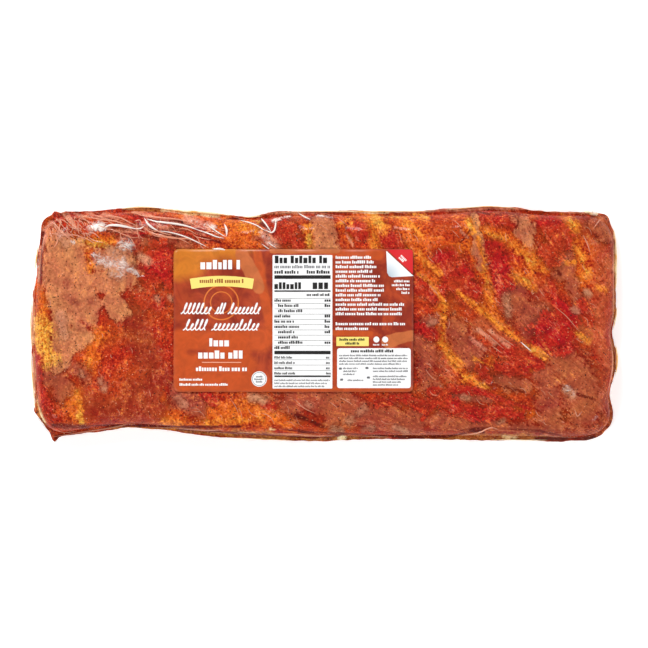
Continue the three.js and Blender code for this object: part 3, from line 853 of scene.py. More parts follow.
def clearFilm():
    # Vacuum film, extruded and drawn tight: almost unseen where flat, milky where it is folded or sealed,
    # with painted glare in a few patches
    material, tree = newMaterial("ClearVacuumFilm")
    haze = addNode(tree, "ShaderNodeAttribute", attribute_name="haze").outputs["Fac"]
    milkAndGlare = addNode(tree, "ShaderNodeAttribute", attribute_name="milkAndGlare").outputs["Fac"]
    stain = addNode(tree, "ShaderNodeAttribute", attribute_name="stain").outputs["Fac"]
    colour = addNode(tree, "ShaderNodeMix", {
        0: stain, 6: hexColour("#FFF2E8"), 7: hexColour("#C06A2C"),
    }, data_type="RGBA").outputs[2]
    # The milky patches and painted glare lie in streaks, thin at the edges and thick in the middle
    place = addNode(tree, "ShaderNodeTexCoord").outputs["Object"]
    streaks = addNode(tree, "ShaderNodeTexNoise", {
        "Vector": place, "Scale": perMetre(5), "Detail": 3, "Roughness": 0.6, "Distortion": 1.8,
    })
    broken = addNode(tree, "ShaderNodeMapRange", {0: streaks, 1: 0.35, 2: 0.65, 3: -0.3, 4: 0.3})
    ragged = addNode(tree, "ShaderNodeMath", {0: milkAndGlare, 1: broken}, operation="ADD")
    thickness = addNode(tree, "ShaderNodeMapRange", {
        0: ragged, 1: 0.3, 2: 1.4, 3: 0.0, 4: 0.9,
    }, interpolation_type="SMOOTHSTEP")
    haze = addNode(tree, "ShaderNodeMath", {0: haze, 1: thickness}, operation="ADD", use_clamp=True)
    surface = addNode(tree, "ShaderNodeBsdfPrincipled", {
        "Base Color": colour,
        "Roughness": 0.12,
        "IOR": 1.5,
        "Alpha": haze,
    })
    addNode(tree, "ShaderNodeOutputMaterial", {"Surface": surface})
    return material


def besideLabel(x, y):
    # 0 under the label, rising to 1 just outside it
    outsideX = np.abs(x - label["centreX"]) - label["length"] / 2
    outsideY = np.abs(y - label["centreY"]) - label["width"] / 2
    return ease(0.5, 3, np.maximum(outsideX, outsideY))


def smoothPath(points, step):
    # A soft curve through the points, at even steps
    points = np.array(points, float)
    if len(points) == 2:
        points = np.array([points[0], points.mean(0), points[1]])
    ends = np.concatenate([[2 * points[0] - points[1]], points, [2 * points[-1] - points[-2]]])
    path = []
    for a, b, c, d in zip(ends, ends[1:], ends[2:], ends[3:]):
        count = max(2, round(np.linalg.norm(c - b) / step))
        for t in np.arange(count) / count:
            path.append(0.5 * (2 * b + (c - a) * t + (2 * a - 5 * b + 4 * c - d) * t ** 2
                               + (3 * b - a - 3 * c + d) * t ** 3))
    path.append(points[-1])
    return np.array(path)


label = {
    "length": 161,
    "width": 96,
    "centreX": -20.5,
    "centreY": 2.4,
    "cornerRadius": 3.4,
    "gap": 0.3,
    "thickness": 0.22,
    "columns": 82,
    "rows": 50,
    # Print is cut at even steps, so that it bends with the film: axis, from and to
    "printStep": 3,
    "cuts": [(0, -102, 61), (1, -46, 51)],
    "printDepth": 0.03,
    # How far each kind of print stands above the label
    "rise": {"ring": 0.03, "panel": 0.06, "flap": 0.1, "mark": 0.11},
}


def makeFilm():
    x, y, depth = fineGrid(0)
    free = besideLabel(x, y)
    folds = np.zeros_like(x)
    for _, points in filmCreases:
        path = smoothPath(points, film["creaseStep"])
        strokes = [(*a, *b, film["foldHalfWidth"]) for a, b in zip(path, path[1:])]
        folds = np.maximum(folds, strokeField(x, y, strokes, raggedness=0))
    folds = ease(0.5, 1, folds) * free
    inRim = ease(pack["rimWidth"] + 0.5, 0.5, depth)
    wave = film["rimWave"] * (softNoise(x, y, 7, 41) - 0.5) * inRim
    top = topLevel(x, y, depth) + film["foldHeight"] * folds + wave
    bottom = undersideLevel(x, y, depth) + wave
    piece = closedSheets("ClearBag", x, y, top, bottom, centre)

    edgeHaze = film["rimHaze"] * ease(6, 1, depth) * (0.5 + 0.7 * softNoise(x, y, 11, 42))
    haze = film["flatHaze"] + film["foldHaze"] * folds + edgeHaze
    milkAndGlare = np.zeros_like(x)
    for *stroke, strength in filmMilkAndGlare:
        nearest = np.hypot(x - stroke[0], y - stroke[1]).argmin()
        level = ease(8, 3, np.abs(top - top.flat[nearest]))  # A patch doesn't run down the wall below it
        milkAndGlare = np.maximum(milkAndGlare, strength * strokeField(x, y, [stroke], 0.5, 44) * free * level)
    stain = ease(0.45, 0.7, softNoise(x, y, 19, 43)) * ease(7, 2, depth)
    writeAttribute(piece, "haze", np.tile(haze.ravel(), 2))
    writeAttribute(piece, "milkAndGlare", np.concatenate([milkAndGlare.ravel(), 0 * milkAndGlare.ravel()]))
    writeAttribute(piece, "stain", np.tile(stain.ravel(), 2))
    piece.data.materials.append(clearFilm())
    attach(piece, "root")
    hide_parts("sealed_pack")
    return piece


clearBag = makeFilm()
print("film:", len(clearBag.data.polygons), "faces")


def onTop(x, y):
    # The film's height over the flat part of the pack
    return topLevel(x, y, np.full_like(x, pack["flatDepth"]))


filmTree = BVHTree.FromObject(clearBag, bpy.context.evaluated_depsgraph_get())


def dropOnFilm(x, y):
    # The film's height straight below a place, in metres
    hit = filmTree.ray_cast((x, y, 0.1), (0, 0, -1))[0]
    return hit.z if hit else pack["rimHeight"] * mm


def creaseTree(material):
    # A thin ridge along each curve, tapered to nothing at both ends
    tree = bpy.data.node_groups.new("TaperedRidges", "GeometryNodeTree")
    tree.interface.new_socket("Curves", in_out="INPUT", socket_type="NodeSocketGeometry")
    unit = tree.interface.new_socket("Radius unit", in_out="INPUT", socket_type="NodeSocketFloat")
    tree.interface.new_socket("Geometry", in_out="OUTPUT", socket_type="NodeSocketGeometry")
    given = addNode(tree, "NodeGroupInput")
    along = addNode(tree, "GeometryNodeSplineParameter").outputs["Factor"]
    turned = addNode(tree, "ShaderNodeMath", {0: along, 1: math.pi}, operation="MULTIPLY")
    taper = addNode(tree, "ShaderNodeMath", {0: turned}, operation="SINE")
    softened = addNode(tree, "ShaderNodeMath", {0: taper, 1: 0.6}, operation="POWER")
    kept = addNode(tree, "ShaderNodeMath", {0: softened, 1: 0.08}, operation="MAXIMUM")
    drawn = addNode(tree, "GeometryNodeInputRadius")
    radius = addNode(tree, "ShaderNodeMath", {0: kept, 1: drawn}, operation="MULTIPLY")
    profile = addNode(tree, "GeometryNodeCurvePrimitiveCircle", {
        "Resolution": 6, "Radius": given.outputs[1],
    })
    ridges = addNode(tree, "GeometryNodeCurveToMesh", {
        "Curve": given, "Profile Curve": profile, "Scale": radius, "Fill Caps": True,
    })
    smooth = addNode(tree, "GeometryNodeSetShadeSmooth", {0: ridges})
    real = addNode(tree, "GeometryNodeRealizeInstances", {0: smooth})
    worn = addNode(tree, "GeometryNodeSetMaterial", {"Geometry": real, "Material": material})
    addNode(tree, "NodeGroupOutput", {0: worn})
    return tree, unit.identifier


def paintedFoldLight(name, hexCode, alpha):
    # Folded film with its light painted on: a near-white highlight where the fold is sharp, and a salmon
    # sheen where it is soft
    material, tree = newMaterial(name)
    surface = addNode(tree, "ShaderNodeBsdfPrincipled", {
        "Base Color": hexColour(hexCode),
        "Roughness": 0.15,
        "IOR": 1.5,
        "Alpha": alpha,
    })
    addNode(tree, "ShaderNodeOutputMaterial", {"Surface": surface})
    return material


def plainMesh(maker, name):
    # What a modifier stack gives, as a mesh of its own
    bpy.context.view_layer.update()
    evaluated = maker.evaluated_get(bpy.context.evaluated_depsgraph_get())
    mesh = bpy.data.meshes.new_from_object(evaluated)
    mesh.name = name
    piece = bpy.data.objects.new(name, mesh)
    scene.collection.objects.link(piece)
    return piece


def scatteredCreases(count, box, length, lean, halfWidth, seed):
    # Short curved paths that run down and lean to the right, each a half width and points
    draw = np.random.default_rng(seed)
    left, low, right, high = box
    made = []
    for _ in range(count):
        start = np.array([draw.uniform(left, right), draw.uniform(low, high)])
        way = np.array([lean * draw.uniform(-0.1, 2.1), -1.0])
        way /= np.linalg.norm(way)
        long = draw.uniform(*length)
        bow = np.array([-way[1], way[0]]) * draw.uniform(-0.25, 0.25) * long
        points = [start, start + way * long / 2 + bow, start + way * long]
        made.append((halfWidth * draw.uniform(0.7, 1.6), points))
    return made


def makeCreases(name, creases, material):
    curve = bpy.data.curves.new(name + "Paths", "CURVE")
    curve.dimensions = "3D"
    for halfWidth, points in creases:
        path = smoothPath(points, film["creaseStep"])
        spline = curve.splines.new("POLY")
        spline.points.add(len(path) - 1)
        for point, (x, y) in zip(spline.points, (path - centre[:2]) * mm):
            height = dropOnFilm(x, y)
            point.co = (x, y, height + film["creaseRise"] * mm, 1)
            # On the steep walls a fold lies flatter than on top or on the rim
            wall = ease(9, 11, height / mm) * ease(20, 14, height / mm)
            point.radius = halfWidth * (1 - 0.6 * wall)
    paths = bpy.data.objects.new(name + "Paths", curve)
    scene.collection.objects.link(paths)
    tree, unit = creaseTree(material)
    modifier = paths.modifiers.new("Creases", "NODES")
    modifier.node_group = tree
    modifier[unit] = 1 * mm
    piece = plainMesh(paths, name)
    bpy.data.objects.remove(paths)
    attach(piece, "root")
    return piece


def glowingSealedEdge():
    # The bag's welded edge, wet with fat and juice, cream to amber, with a painted glow where light comes
    # through it from behind
    material, tree = newMaterial("GlowingWeldedEdge")
    place = addNode(tree, "ShaderNodeTexCoord").outputs["Object"]
    pools = addNode(tree, "ShaderNodeTexNoise", {"Vector": place, "Scale": perMetre(7), "Detail": 2})
    share = addNode(tree, "ShaderNodeMapRange", {0: pools, 1: 0.35, 2: 0.62})
    colour = addNode(tree, "ShaderNodeMix", {
        0: share, 6: hexColour("#F0B45C"), 7: hexColour("#FFF8D8"),
    }, data_type="RGBA").outputs[2]
    surface = addNode(tree, "ShaderNodeBsdfPrincipled", {
        # The emission is painted light let through the edge
        "Base Color": colour, "Roughness": 0.2, "IOR": 1.5, "Alpha": 0.85,
        "Emission Color": hexColour("#FFD68C"), "Emission Strength": 0.18,
    })
    addNode(tree, "ShaderNodeOutputMaterial", {"Surface": surface})
    return material


def alongRim(side, start, end, depth):
    # Points a little inside the bag's edge, between two places along one side
    at = np.linspace(start, end, max(3, round(abs(end - start) / 4)))
    edge = {
        "far": halfWidth - depth,
        "near": depth - halfWidth,
        "right": halfLength - depth,
        "left": depth - halfLength,
    }
    across = np.full_like(at, edge[side])
    x, y, _ = packPlan(at, across) if side in ("far", "near") else packPlan(across, at)
    return list(zip(x, y))


# Stretches of the edge painted pale and glowing as if lit from behind: side, from, to, depth and half
# width
fringe = [
    ("far", -144, -118, 1.1, 0.55), ("far", -116, -66, 1.2, 0.75), ("far", -58, -44, 1.2, 0.45),
    ("far", -30, 78, 0.7, 0.4), ("far", 84, 132, 0.7, 0.35), ("far", 180, 186, 1, 0.8),
    ("right", 64, 24, 1.8, 0.85), ("right", 12, -4, 1, 0.5), ("right", -14, -36, 0.8, 0.65),
    ("left", 56, 38, 0.9, 0.5), ("left", 18, -16, 0.8, 0.4), ("left", -20, -62, 0.9, 0.45),
    ("near", -20, -66, 1, 0.35), ("near", 112, 152, 1, 0.3),
]

# Folds that run along the foot of the walls, in the same terms
footFolds = [
    ("right", 62, -20, 4.3, 0.5),
    ("right", -16, -48, 5, 0.45),
]


def rimPaths(stretches):
    return [(half, alongRim(side, start, end, depth)) for side, start, end, depth, half in stretches]


creaseRidges = makeCreases("FilmCreases", filmCreases, paintedFoldLight("PaintedCreaseHighlight", "#FFF4EC", 0.85))
scattered = [crease for kind in fineFolds for crease in scatteredCreases(*kind)]
softFolds = filmFolds + rimPaths(footFolds) + scattered
# The soft, foot and fine folds all wear the painted fold sheen
foldRidges = makeCreases("FilmFolds", softFolds, paintedFoldLight("PaintedFoldSheen", "#FAAE8C", 0.5))
sealFringe = makeCreases("SealFringe", rimPaths(fringe), glowingSealedEdge())
ridges = (creaseRidges, foldRidges, sealFringe)
print("creases:", sum(len(piece.data.polygons) for piece in ridges), "faces")


# Coarse spice under the film

spice = {
    "flakes": {"perSquareMetre": 20000, "size": 0.48, "seed": 5, "hex": "#3A1408"},
    "grains": {"perSquareMetre": 30000, "size": 0.36, "seed": 9, "hex": "#D8602A"},
    "flattest": (0.6, 0.4, 0.25),
    "fullest": (1.5, 1.1, 0.45),
}


def spiceTree(name, material):
    # Flat crumbs scattered on a surface and turned to lie on it
    tree = bpy.data.node_groups.new(name, "GeometryNodeTree")
    tree.interface.new_socket("Surface", in_out="INPUT", socket_type="NodeSocketGeometry")
    density = tree.interface.new_socket("Per square metre", in_out="INPUT", socket_type="NodeSocketFloat")
    size = tree.interface.new_socket("Radius", in_out="INPUT", socket_type="NodeSocketFloat")
    seed = tree.interface.new_socket("Seed", in_out="INPUT", socket_type="NodeSocketInt")
    tree.interface.new_socket("Geometry", in_out="OUTPUT", socket_type="NodeSocketGeometry")
    given = addNode(tree, "NodeGroupInput")
    scattered = addNode(tree, "GeometryNodeDistributePointsOnFaces", {
        "Mesh": given, "Density": given.outputs[1], "Seed": given.outputs[3],
    })
    crumb = addNode(tree, "GeometryNodeMeshIcoSphere", {"Radius": given.outputs[2], "Subdivisions": 1})
    spin = addNode(tree, "FunctionNodeRandomValue", {"Max": math.tau, "Seed": 3}, data_type="FLOAT")
    about = addNode(tree, "FunctionNodeAxisAngleToRotation", {"Axis": (0, 0, 1), "Angle": spin.outputs[1]})
    turned = addNode(tree, "FunctionNodeRotateRotation", {
        0: scattered.outputs["Rotation"], 1: about,
    }, rotation_space="LOCAL")
    shape = addNode(tree, "FunctionNodeRandomValue", {
        0: spice["flattest"], 1: spice["fullest"], "Seed": 7,
    }, data_type="FLOAT_VECTOR")
    placed = addNode(tree, "GeometryNodeInstanceOnPoints", {
        "Points": scattered.outputs["Points"],
        "Instance": crumb,
        "Rotation": turned,
        "Scale": shape,
    })
    real = addNode(tree, "GeometryNodeRealizeInstances", {0: placed})
    worn = addNode(tree, "GeometryNodeSetMaterial", {"Geometry": real, "Material": material})
    addNode(tree, "NodeGroupOutput", {0: worn})
    return tree, density.identifier, size.identifier, seed.identifier


def crumbMaterial(name, hexCode):
    # Cracked pepper and coarse paprika, dull but wet with meat juice
    material, tree = newMaterial(name)
    place = addNode(tree, "ShaderNodeTexCoord").outputs["Object"]
    shade = addNode(tree, "ShaderNodeTexNoise", {"Vector": place, "Scale": perMetre(2), "Detail": 1})
    deeper = [c * 0.45 for c in hexColour(hexCode)[:3]] + [1]
    colour = addNode(tree, "ShaderNodeMix", {
        0: shade, 6: deeper, 7: hexColour(hexCode),
    }, data_type="RGBA").outputs[2]
    surface = addNode(tree, "ShaderNodeBsdfPrincipled", {
        "Base Color": colour, "Roughness": 0.6, "Specular IOR Level": 0.2,
    })
    addNode(tree, "ShaderNodeOutputMaterial", {"Surface": surface})
    return material


def makeSpice(name, kind):
    settings = spice[kind]
    carrier = bpy.data.objects.new(name + "Carrier", ribsOfPork.data)
    scene.collection.objects.link(carrier)
    crumbs = crumbMaterial(name + "Crumbs", settings["hex"])
    tree, density, size, seed = spiceTree(name + "Scatter", crumbs)
    modifier = carrier.modifiers.new("Scatter", "NODES")
    modifier.node_group = tree
    modifier[density] = float(settings["perSquareMetre"])
    modifier[size] = settings["size"] * mm
    modifier[seed] = settings["seed"]
    piece = plainMesh(carrier, name)
    bpy.data.objects.remove(carrier)
    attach(piece, "root")
    return piece


pepperFlakes = makeSpice("PepperFlakes", "flakes")
paprikaGrains = makeSpice("PaprikaGrains", "grains")
print("spice:", len(pepperFlakes.data.polygons) + len(paprikaGrains.data.polygons), "faces")


# The label. Its print is placed in millimetres from its top left corner: across, then down.

labelZones = {
    "rust": [
        (4, 62, 58, 61, 8), (6, 78, 46, 76, 9), (6, 90, 60, 91, 7), (2, 60, 2, 94, 4),
        (0, 95, 161, 95.5, 3), (56, 2, 66, 60, 3), (106, 2, 138, 4, 4), (108, 56, 132, 57, 2),
    ],
    "amber": [
        (0, 2, 44, -3, 9), (-2, 14, 14, 10, 7),
    ],
    "salmon": [
        (46, 3, 57, 25, 4.6), (144, 62, 160, 58, 4), (66, 1, 110, 1, 2),
    ],
}
labelColours = {"rust": ("#C24E1C", 0.35), "amber": ("#D17820", 0.7), "salmon": ("#C46838", 0.12)}


def printedStock():
    # Pressure-sensitive label stock, printed and varnished: soft orange and brown-red patches, satin
    material, tree = newMaterial("VarnishedLabelStock")
    place = addNode(tree, "ShaderNodeTexCoord").outputs["Object"]
    patterns = []
    for size, detail in ((26, 4), (9, 3)):
        patterns.append(addNode(tree, "ShaderNodeTexNoise", {
            "Vector": place, "Scale": perMetre(size), "Detail": detail,
            "Roughness": 0.6, "Distortion": 1.4,
        }))
    sweep = addNode(tree, "ShaderNodeMapRange", {
        0: patterns[0], 1: 0.38, 2: 0.6,
    }, interpolation_type="SMOOTHSTEP")
    colour = addNode(tree, "ShaderNodeMix", {
        0: sweep, 6: hexColour("#8E2A16"), 7: hexColour("#B2431F"),
    }, data_type="RGBA").outputs[2]
    for name, (hexCode, soft) in labelColours.items():
        zone = addNode(tree, "ShaderNodeAttribute", attribute_name=name).outputs["Fac"]
        mask = addNode(tree, "ShaderNodeMapRange", {
            0: zone, 1: 0.5 - soft / 2, 2: 0.5 + soft / 2,
        }, interpolation_type="SMOOTHSTEP")
        colour = addNode(tree, "ShaderNodeMix", {
            0: mask, 6: colour, 7: hexColour(hexCode),
        }, data_type="RGBA").outputs[2]
    # Broad brush marks, a little darker and lighter than the ink
    marks = addNode(tree, "ShaderNodeMapRange", {0: patterns[1], 1: 0.35, 2: 0.65, 3: 0.88, 4: 1.1})
    colour = addNode(tree, "ShaderNodeHueSaturation", {"Color": colour, "Value": marks})
    surface = addNode(tree, "ShaderNodeBsdfPrincipled", {"Base Color": colour, "Roughness": 0.38})
    addNode(tree, "ShaderNodeOutputMaterial", {"Surface": surface})
    return material


def labelPlace(across, down):
    # From the label's top left corner to the pack's millimetres
    return (
        label["centreX"] - label["length"] / 2 + across,
        label["centreY"] + label["width"] / 2 - down,
    )


def roundedRectangle(left, top, right, bottom, radius=0.0):
    if radius == 0:
        return [(left, top), (right, top), (right, bottom), (left, bottom)]
    points = []
    corners = [(right - radius, top + radius, -90), (right - radius, bottom - radius, 0),
               (left + radius, bottom - radius, 90), (left + radius, top + radius, 180)]
    for x, y, start in corners:
        for turn in np.radians(start + np.linspace(0, 90, 5)):
            points.append((x + radius * math.cos(turn), y + radius * math.sin(turn)))
    return points


def disc(across, down, radius):
    turns = np.linspace(0, math.tau, 25)[:-1]
    return [(across + radius * math.cos(t), down + radius * math.sin(t)) for t in turns]


def ribbon(path, width):
    # A stroke of even width along a path, as a row of four-sided shapes
    path = np.array(path, float)
    ahead = np.gradient(path, axis=0)
    ahead /= np.linalg.norm(ahead, axis=1, keepdims=True)
    side = np.stack([-ahead[:, 1], ahead[:, 0]], 1) * width / 2
    left, right = path + side, path - side
    return [[tuple(corner) for corner in four] for four in zip(right, right[1:], left[1:], left)]


def blockRow(left, base, right, height, seed, bold=0.5):
    # Small plain blocks in groups of a few
    draw = np.random.default_rng(seed)
    shapes = []
    at = left
    while at < right - height * bold:
        for _ in range(draw.integers(3, 9)):
            block = height * draw.uniform(bold * 0.8, bold * 1.25)
            if at + block > right:
                break
            tall = height * (1.35 if draw.random() < 0.3 else 1.0)
            shapes.append(roundedRectangle(at, base - tall, at + block, base))
            at += block + height * 0.2
        at += height * 0.45
    return shapes


def loopRow(left, base, right, height, seed):
    # A row of running loops
    draw = np.random.default_rng(seed)
    count = max(3, round((right - left) / (height * 0.62)))
    tall = np.repeat(draw.choice([1.0, 1.0, 1.65], count), 16)
    turn = np.linspace(0, count * math.tau, count * 16)
    rise = (0.5 - 0.5 * np.cos(turn)) * height * tall
    loop = (right - left) / count * 0.42 * np.sin(turn - 0.6)
    across = np.linspace(left, right, count * 16) + loop + rise * 0.2
    return ribbon(np.stack([across, base - rise], 1), height * 0.19)


def pressedOn(name, layers, material):
    # Flat print laid on the label. Each layer is shapes and how far its face stands above the label.
    solid = bmesh.new()
    for shapes, rise in layers:
        flat = bmesh.new()
        for shape in shapes:
            corners = [flat.verts.new((*labelPlace(a, d), 0)) for a, d in shape]
            flat.faces.new(corners)
        step = label["printStep"]
        for axis, low, high in label["cuts"]:
            for at in np.arange(low, high, step):
                cut = [0, 0, 0]
                cut[axis] = float(at)
                normal = [0, 0, 0]
                normal[axis] = 1
                everything = flat.verts[:] + flat.edges[:] + flat.faces[:]
                bmesh.ops.bisect_plane(flat, geom=everything, plane_co=cut, plane_no=normal)
        extruded = bmesh.ops.extrude_face_region(flat, geom=flat.faces[:])
        upper = [v for v in extruded["geom"] if isinstance(v, bmesh.types.BMVert)]
        face = label["gap"] + label["thickness"]
        for vertex in flat.verts:
            vertex.co.z = face - label["printDepth"]
        for vertex in upper:
            vertex.co.z = face + rise
        bmesh.ops.recalc_face_normals(flat, faces=flat.faces[:])
        part = bpy.data.meshes.new(name + "Layer")
        flat.to_mesh(part)
        flat.free()
        solid.from_mesh(part)
        bpy.data.meshes.remove(part)
    mesh = bpy.data.meshes.new(name)
    solid.to_mesh(mesh)
    solid.free()
    places = np.empty(len(mesh.vertices) * 3)
    mesh.vertices.foreach_get("co", places)
    places = places.reshape(-1, 3)
    places[:, 2] += onTop(places[:, 0], places[:, 1])
    mesh.vertices.foreach_set("co", ((places - centre) * mm).ravel())
    mesh.materials.append(material)
    piece = bpy.data.objects.new(name, mesh)
    scene.collection.objects.link(piece)
    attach(piece, "root")
    return piece


def printInk(name, hexCode):
    # Flat printing ink under the label's varnish
    material, tree = newMaterial(name)
    surface = addNode(tree, "ShaderNodeBsdfPrincipled", {
        "Base Color": hexColour(hexCode), "Roughness": 0.4,
    })
    addNode(tree, "ShaderNodeOutputMaterial", {"Surface": surface})
    return material


def makeLabel():
    across = np.linspace(0, label["length"], label["columns"])
    down = np.linspace(label["width"], 0, label["rows"])
    gridA, gridD = np.meshgrid(across, down, indexing="ij")
    # The corners are rounded by drawing their points in
    radius = label["cornerRadius"]
    halfA, halfD = label["length"] / 2, label["width"] / 2
    a, d = gridA - halfA, gridD - halfD
    p = np.clip(np.abs(a) - halfA + radius, 0, None)
    q = np.clip(np.abs(d) - halfD + radius, 0, None)
    reach = np.maximum(p, q)
    shrink = np.where((p > 0) & (q > 0), reach / np.maximum(np.hypot(p, q), 1e-9), 1)
    a = np.where((p > 0) & (q > 0), np.sign(a) * (halfA - radius + p * shrink), a)
    d = np.where((p > 0) & (q > 0), np.sign(d) * (halfD - radius + q * shrink), d)
    x, y = labelPlace(a + halfA, d + halfD)
    under = onTop(x, y) + label["gap"]
    piece = closedSheets("LabelStock", x, y, under + label["thickness"], under, centre)
    for name, strokes in labelZones.items():
        field = strokeField(gridA, gridD, strokes, raggedness=0.3, seed=31)
        writeAttribute(piece, name, np.tile(field.ravel(), 2))
    piece.data.materials.append(printedStock())
    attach(piece, "root")
    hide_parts("label")
    return piece


labelStock = makeLabel()
print("label:", len(labelStock.data.polygons), "faces")


# What is printed: left, baseline, right and height of each row
frontPanel = {
    "loops": [
        (5.5, 43.5, 25, 4.4), (28, 43.5, 34, 4.4), (37, 43.5, 58, 4.4),
        (7, 54.5, 22, 4.4), (26, 54.5, 57, 4.4),
    ],
    "middleRows": [(24, 65.4, 39.5, 4), (16.5, 73.6, 48.5, 4)],
    "topRow": (18, 13.6, 47.5, 4.6),
    "lowRow": (15, 82, 49.8, 2.3),
    "footRows": [(4, 88.4, 20, 1.2), (4, 91.8, 37, 1.2)],
    "arch": (32.4, 21.6, 42, 7),
    "rings": [(32, 36, 11.5, 0.9), (32, 36, 7.2, 0.7)],
    "round": (57.5, 87.3, 5.2),
    "rule": (19, 75.9, 45.5, 76.4),
}
factsPanel = {
    "box": (66.5, 4.1, 106.6, 93.7),
    "heading": (68, 9.6, 105, 3.7),
    "bars": [(17.7, 20.1), (27.8, 28.8), (68.4, 70.7), (84.9, 86)],
    "rows": (34, 3.53, 10),
    "lowRows": (72.8, 3.55, 4),
}
sidePanel = {
    "lineEnds": [
        133.5, 135.8, 136.3, 133.8, 138.5, 135.8, 141.2, 141.2, 139.9, 137.2, 154.8, 153.5, 153.5,
    ],
    "firstBase": 6.6,
    "pitch": 3.157,
    "lastLines": [(108.8, 51.2, 155.5), (108.8, 54.4, 131)],
    "strip": (109.3, 59, 131, 65.2),
    "discs": [(136.1, 60.8), (142, 60.8)],
    "whiteBox": (109.8, 66.6, 159.2, 93.4),
    "cornerLines": [(148, 22.4), (146.5, 25), (149.5, 27.6), (153, 30.2)],
}


def whiteLayers():
    panels = [
        roundedRectangle(*factsPanel["box"], 0.6),
        roundedRectangle(*sidePanel["whiteBox"], 1.6),
        disc(*frontPanel["round"]),
    ]
    panels += [disc(a, d, 2) for a, d in sidePanel["discs"]]
    marks = []
    for i, row in enumerate(frontPanel["loops"]):
        marks += loopRow(*row, seed=50 + i)
    for i, row in enumerate(frontPanel["middleRows"]):
        marks += blockRow(*row, seed=60 + i, bold=0.62)
    marks += blockRow(*frontPanel["topRow"], seed=70, bold=0.6)
    marks += blockRow(*frontPanel["lowRow"], seed=71, bold=0.62)
    for i, row in enumerate(frontPanel["footRows"]):
        marks += blockRow(*row, seed=72 + i, bold=0.7)
    for i, end in enumerate(sidePanel["lineEnds"]):
        base = sidePanel["firstBase"] + i * sidePanel["pitch"]
        marks += blockRow(108.8, base, end, 1.5, seed=80 + i, bold=0.6)
    for i, (left, base, right) in enumerate(sidePanel["lastLines"]):
        marks += blockRow(left, base, right, 1.5, seed=100 + i, bold=0.6)
    for i, (left, base) in enumerate(sidePanel["cornerLines"]):
        marks += blockRow(left, base, 158.8, 1.2, seed=110 + i, bold=0.6)
    for a, d in sidePanel["discs"]:
        marks += blockRow(a - 2.2, d + 4, a + 2.2, 0.8, seed=120, bold=0.6)
    return [(panels, label["rise"]["panel"]), (marks, label["rise"]["panel"])]


def blackLayers():
    left, _, right, _ = factsPanel["box"]
    left, right = left + 1.2, right - 1.2
    shapes = [roundedRectangle(left, a, right, b) for a, b in factsPanel["bars"]]
    heavy = blockRow(*factsPanel["heading"], seed=200, bold=0.6)
    heavy += blockRow(left, 16.6, left + 17, 1.8, seed=202, bold=0.6)
    heavy += blockRow(right - 16, 16.6, right, 1.8, seed=203, bold=0.6)
    heavy += blockRow(left, 27, left + 20, 3.4, seed=204, bold=0.6)
    heavy += blockRow(right - 12, 27, right, 4.4, seed=206, bold=0.7)
    heavy += blockRow(right - 16, 31.6, right, 1.3, seed=207, bold=0.6)
    first, pitch, count = factsPanel["rows"]
    for i in range(count):
        base = first + i * pitch
        indent = 0 if i in (0, 3, 4, 5, 9) else 2.5
        end = left + indent + 11 + 3 * (i % 3)
        heavy += blockRow(left + indent, base + 1.4, end, 1.4, seed=210 + i, bold=0.6)
        if i not in (2, 7, 9):
            heavy += blockRow(right - 4, base + 1.4, right, 1.4, seed=230 + i, bold=0.7)
        shapes.append(roundedRectangle(left, base - 0.9, right, base - 0.7))
    first, pitch, count = factsPanel["lowRows"]
    for i in range(count):
        base = first + i * pitch
        heavy += blockRow(left, base + 0.8, left + 12 + 2 * (i % 2), 1.2, seed=250 + i, bold=0.45)
        heavy += blockRow(right - 3, base + 0.8, right, 1.2, seed=260 + i, bold=0.5)
        if i < count - 1:
            shapes.append(roundedRectangle(left, base + 1.5, right, base + 1.7))
    heavy += blockRow(119, 69.4, 149, 1.4, seed=280, bold=0.62)
    strip = sidePanel["strip"]
    heavy += blockRow(strip[0] + 2, strip[1] + 2.6, strip[2] - 2, 1.2, seed=281, bold=0.62)
    heavy += blockRow(strip[0] + 6, strip[1] + 5.2, strip[2] - 6, 1.2, seed=282, bold=0.62)
    return [(shapes + heavy, label["rise"]["mark"])]


def greyLayers():
    left, _, right, _ = sidePanel["whiteBox"]
    fine = []
    for i in range(4):
        fine += blockRow(left + 1.4, 72 + i * 1.9, right - 2 - 4 * (i == 3), 0.8, seed=300 + i, bold=0.6)
    for i in range(3):
        fine += blockRow(left + 4, 80.6 + i * 2, left + 14 - i, 0.8, seed=310 + i, bold=0.6)
    fine += blockRow(left + 7, 88.6, left + 18, 0.8, seed=314, bold=0.6)
    for i in range(2):
        fine += blockRow(left + 24, 80.6 + i * 1.9, right - 2, 0.8, seed=320 + i, bold=0.6)
    for i in range(4):
        fine += blockRow(left + 24, 86 + i * 1.9, right - 2 - 2 * i, 0.8, seed=330 + i, bold=0.6)
    for at, base in ((1.2, 81), (2, 88.4), (19, 80.6), (20, 87)):
        fine += [roundedRectangle(left + at, base - 1.4, left + at + 2, base, 0.5)]
    boxLeft, _, boxRight, _ = factsPanel["box"]
    fine += blockRow(boxLeft + 1.2, 13, boxRight - 1.6, 1.7, seed=340, bold=0.4)
    for i in range(3):
        end = boxRight - 1.4 - 2 * i
        fine += blockRow(boxLeft + 1.2, 88.6 + i * 2.05, end, 0.8, seed=350 + i, bold=0.5)
    middle, down, _ = frontPanel["round"]
    turns = np.linspace(0, math.tau, 33)
    fine += ribbon([(middle + 4.5 * math.cos(t), down + 4.5 * math.sin(t)) for t in turns], 0.3)
    for i, half in enumerate((2.2, 3.2, 2.2)):
        fine += blockRow(middle - half, down - 1 + 1.7 * i, middle + half, 0.9, seed=360 + i, bold=0.6)
    return [(fine, label["rise"]["mark"])]


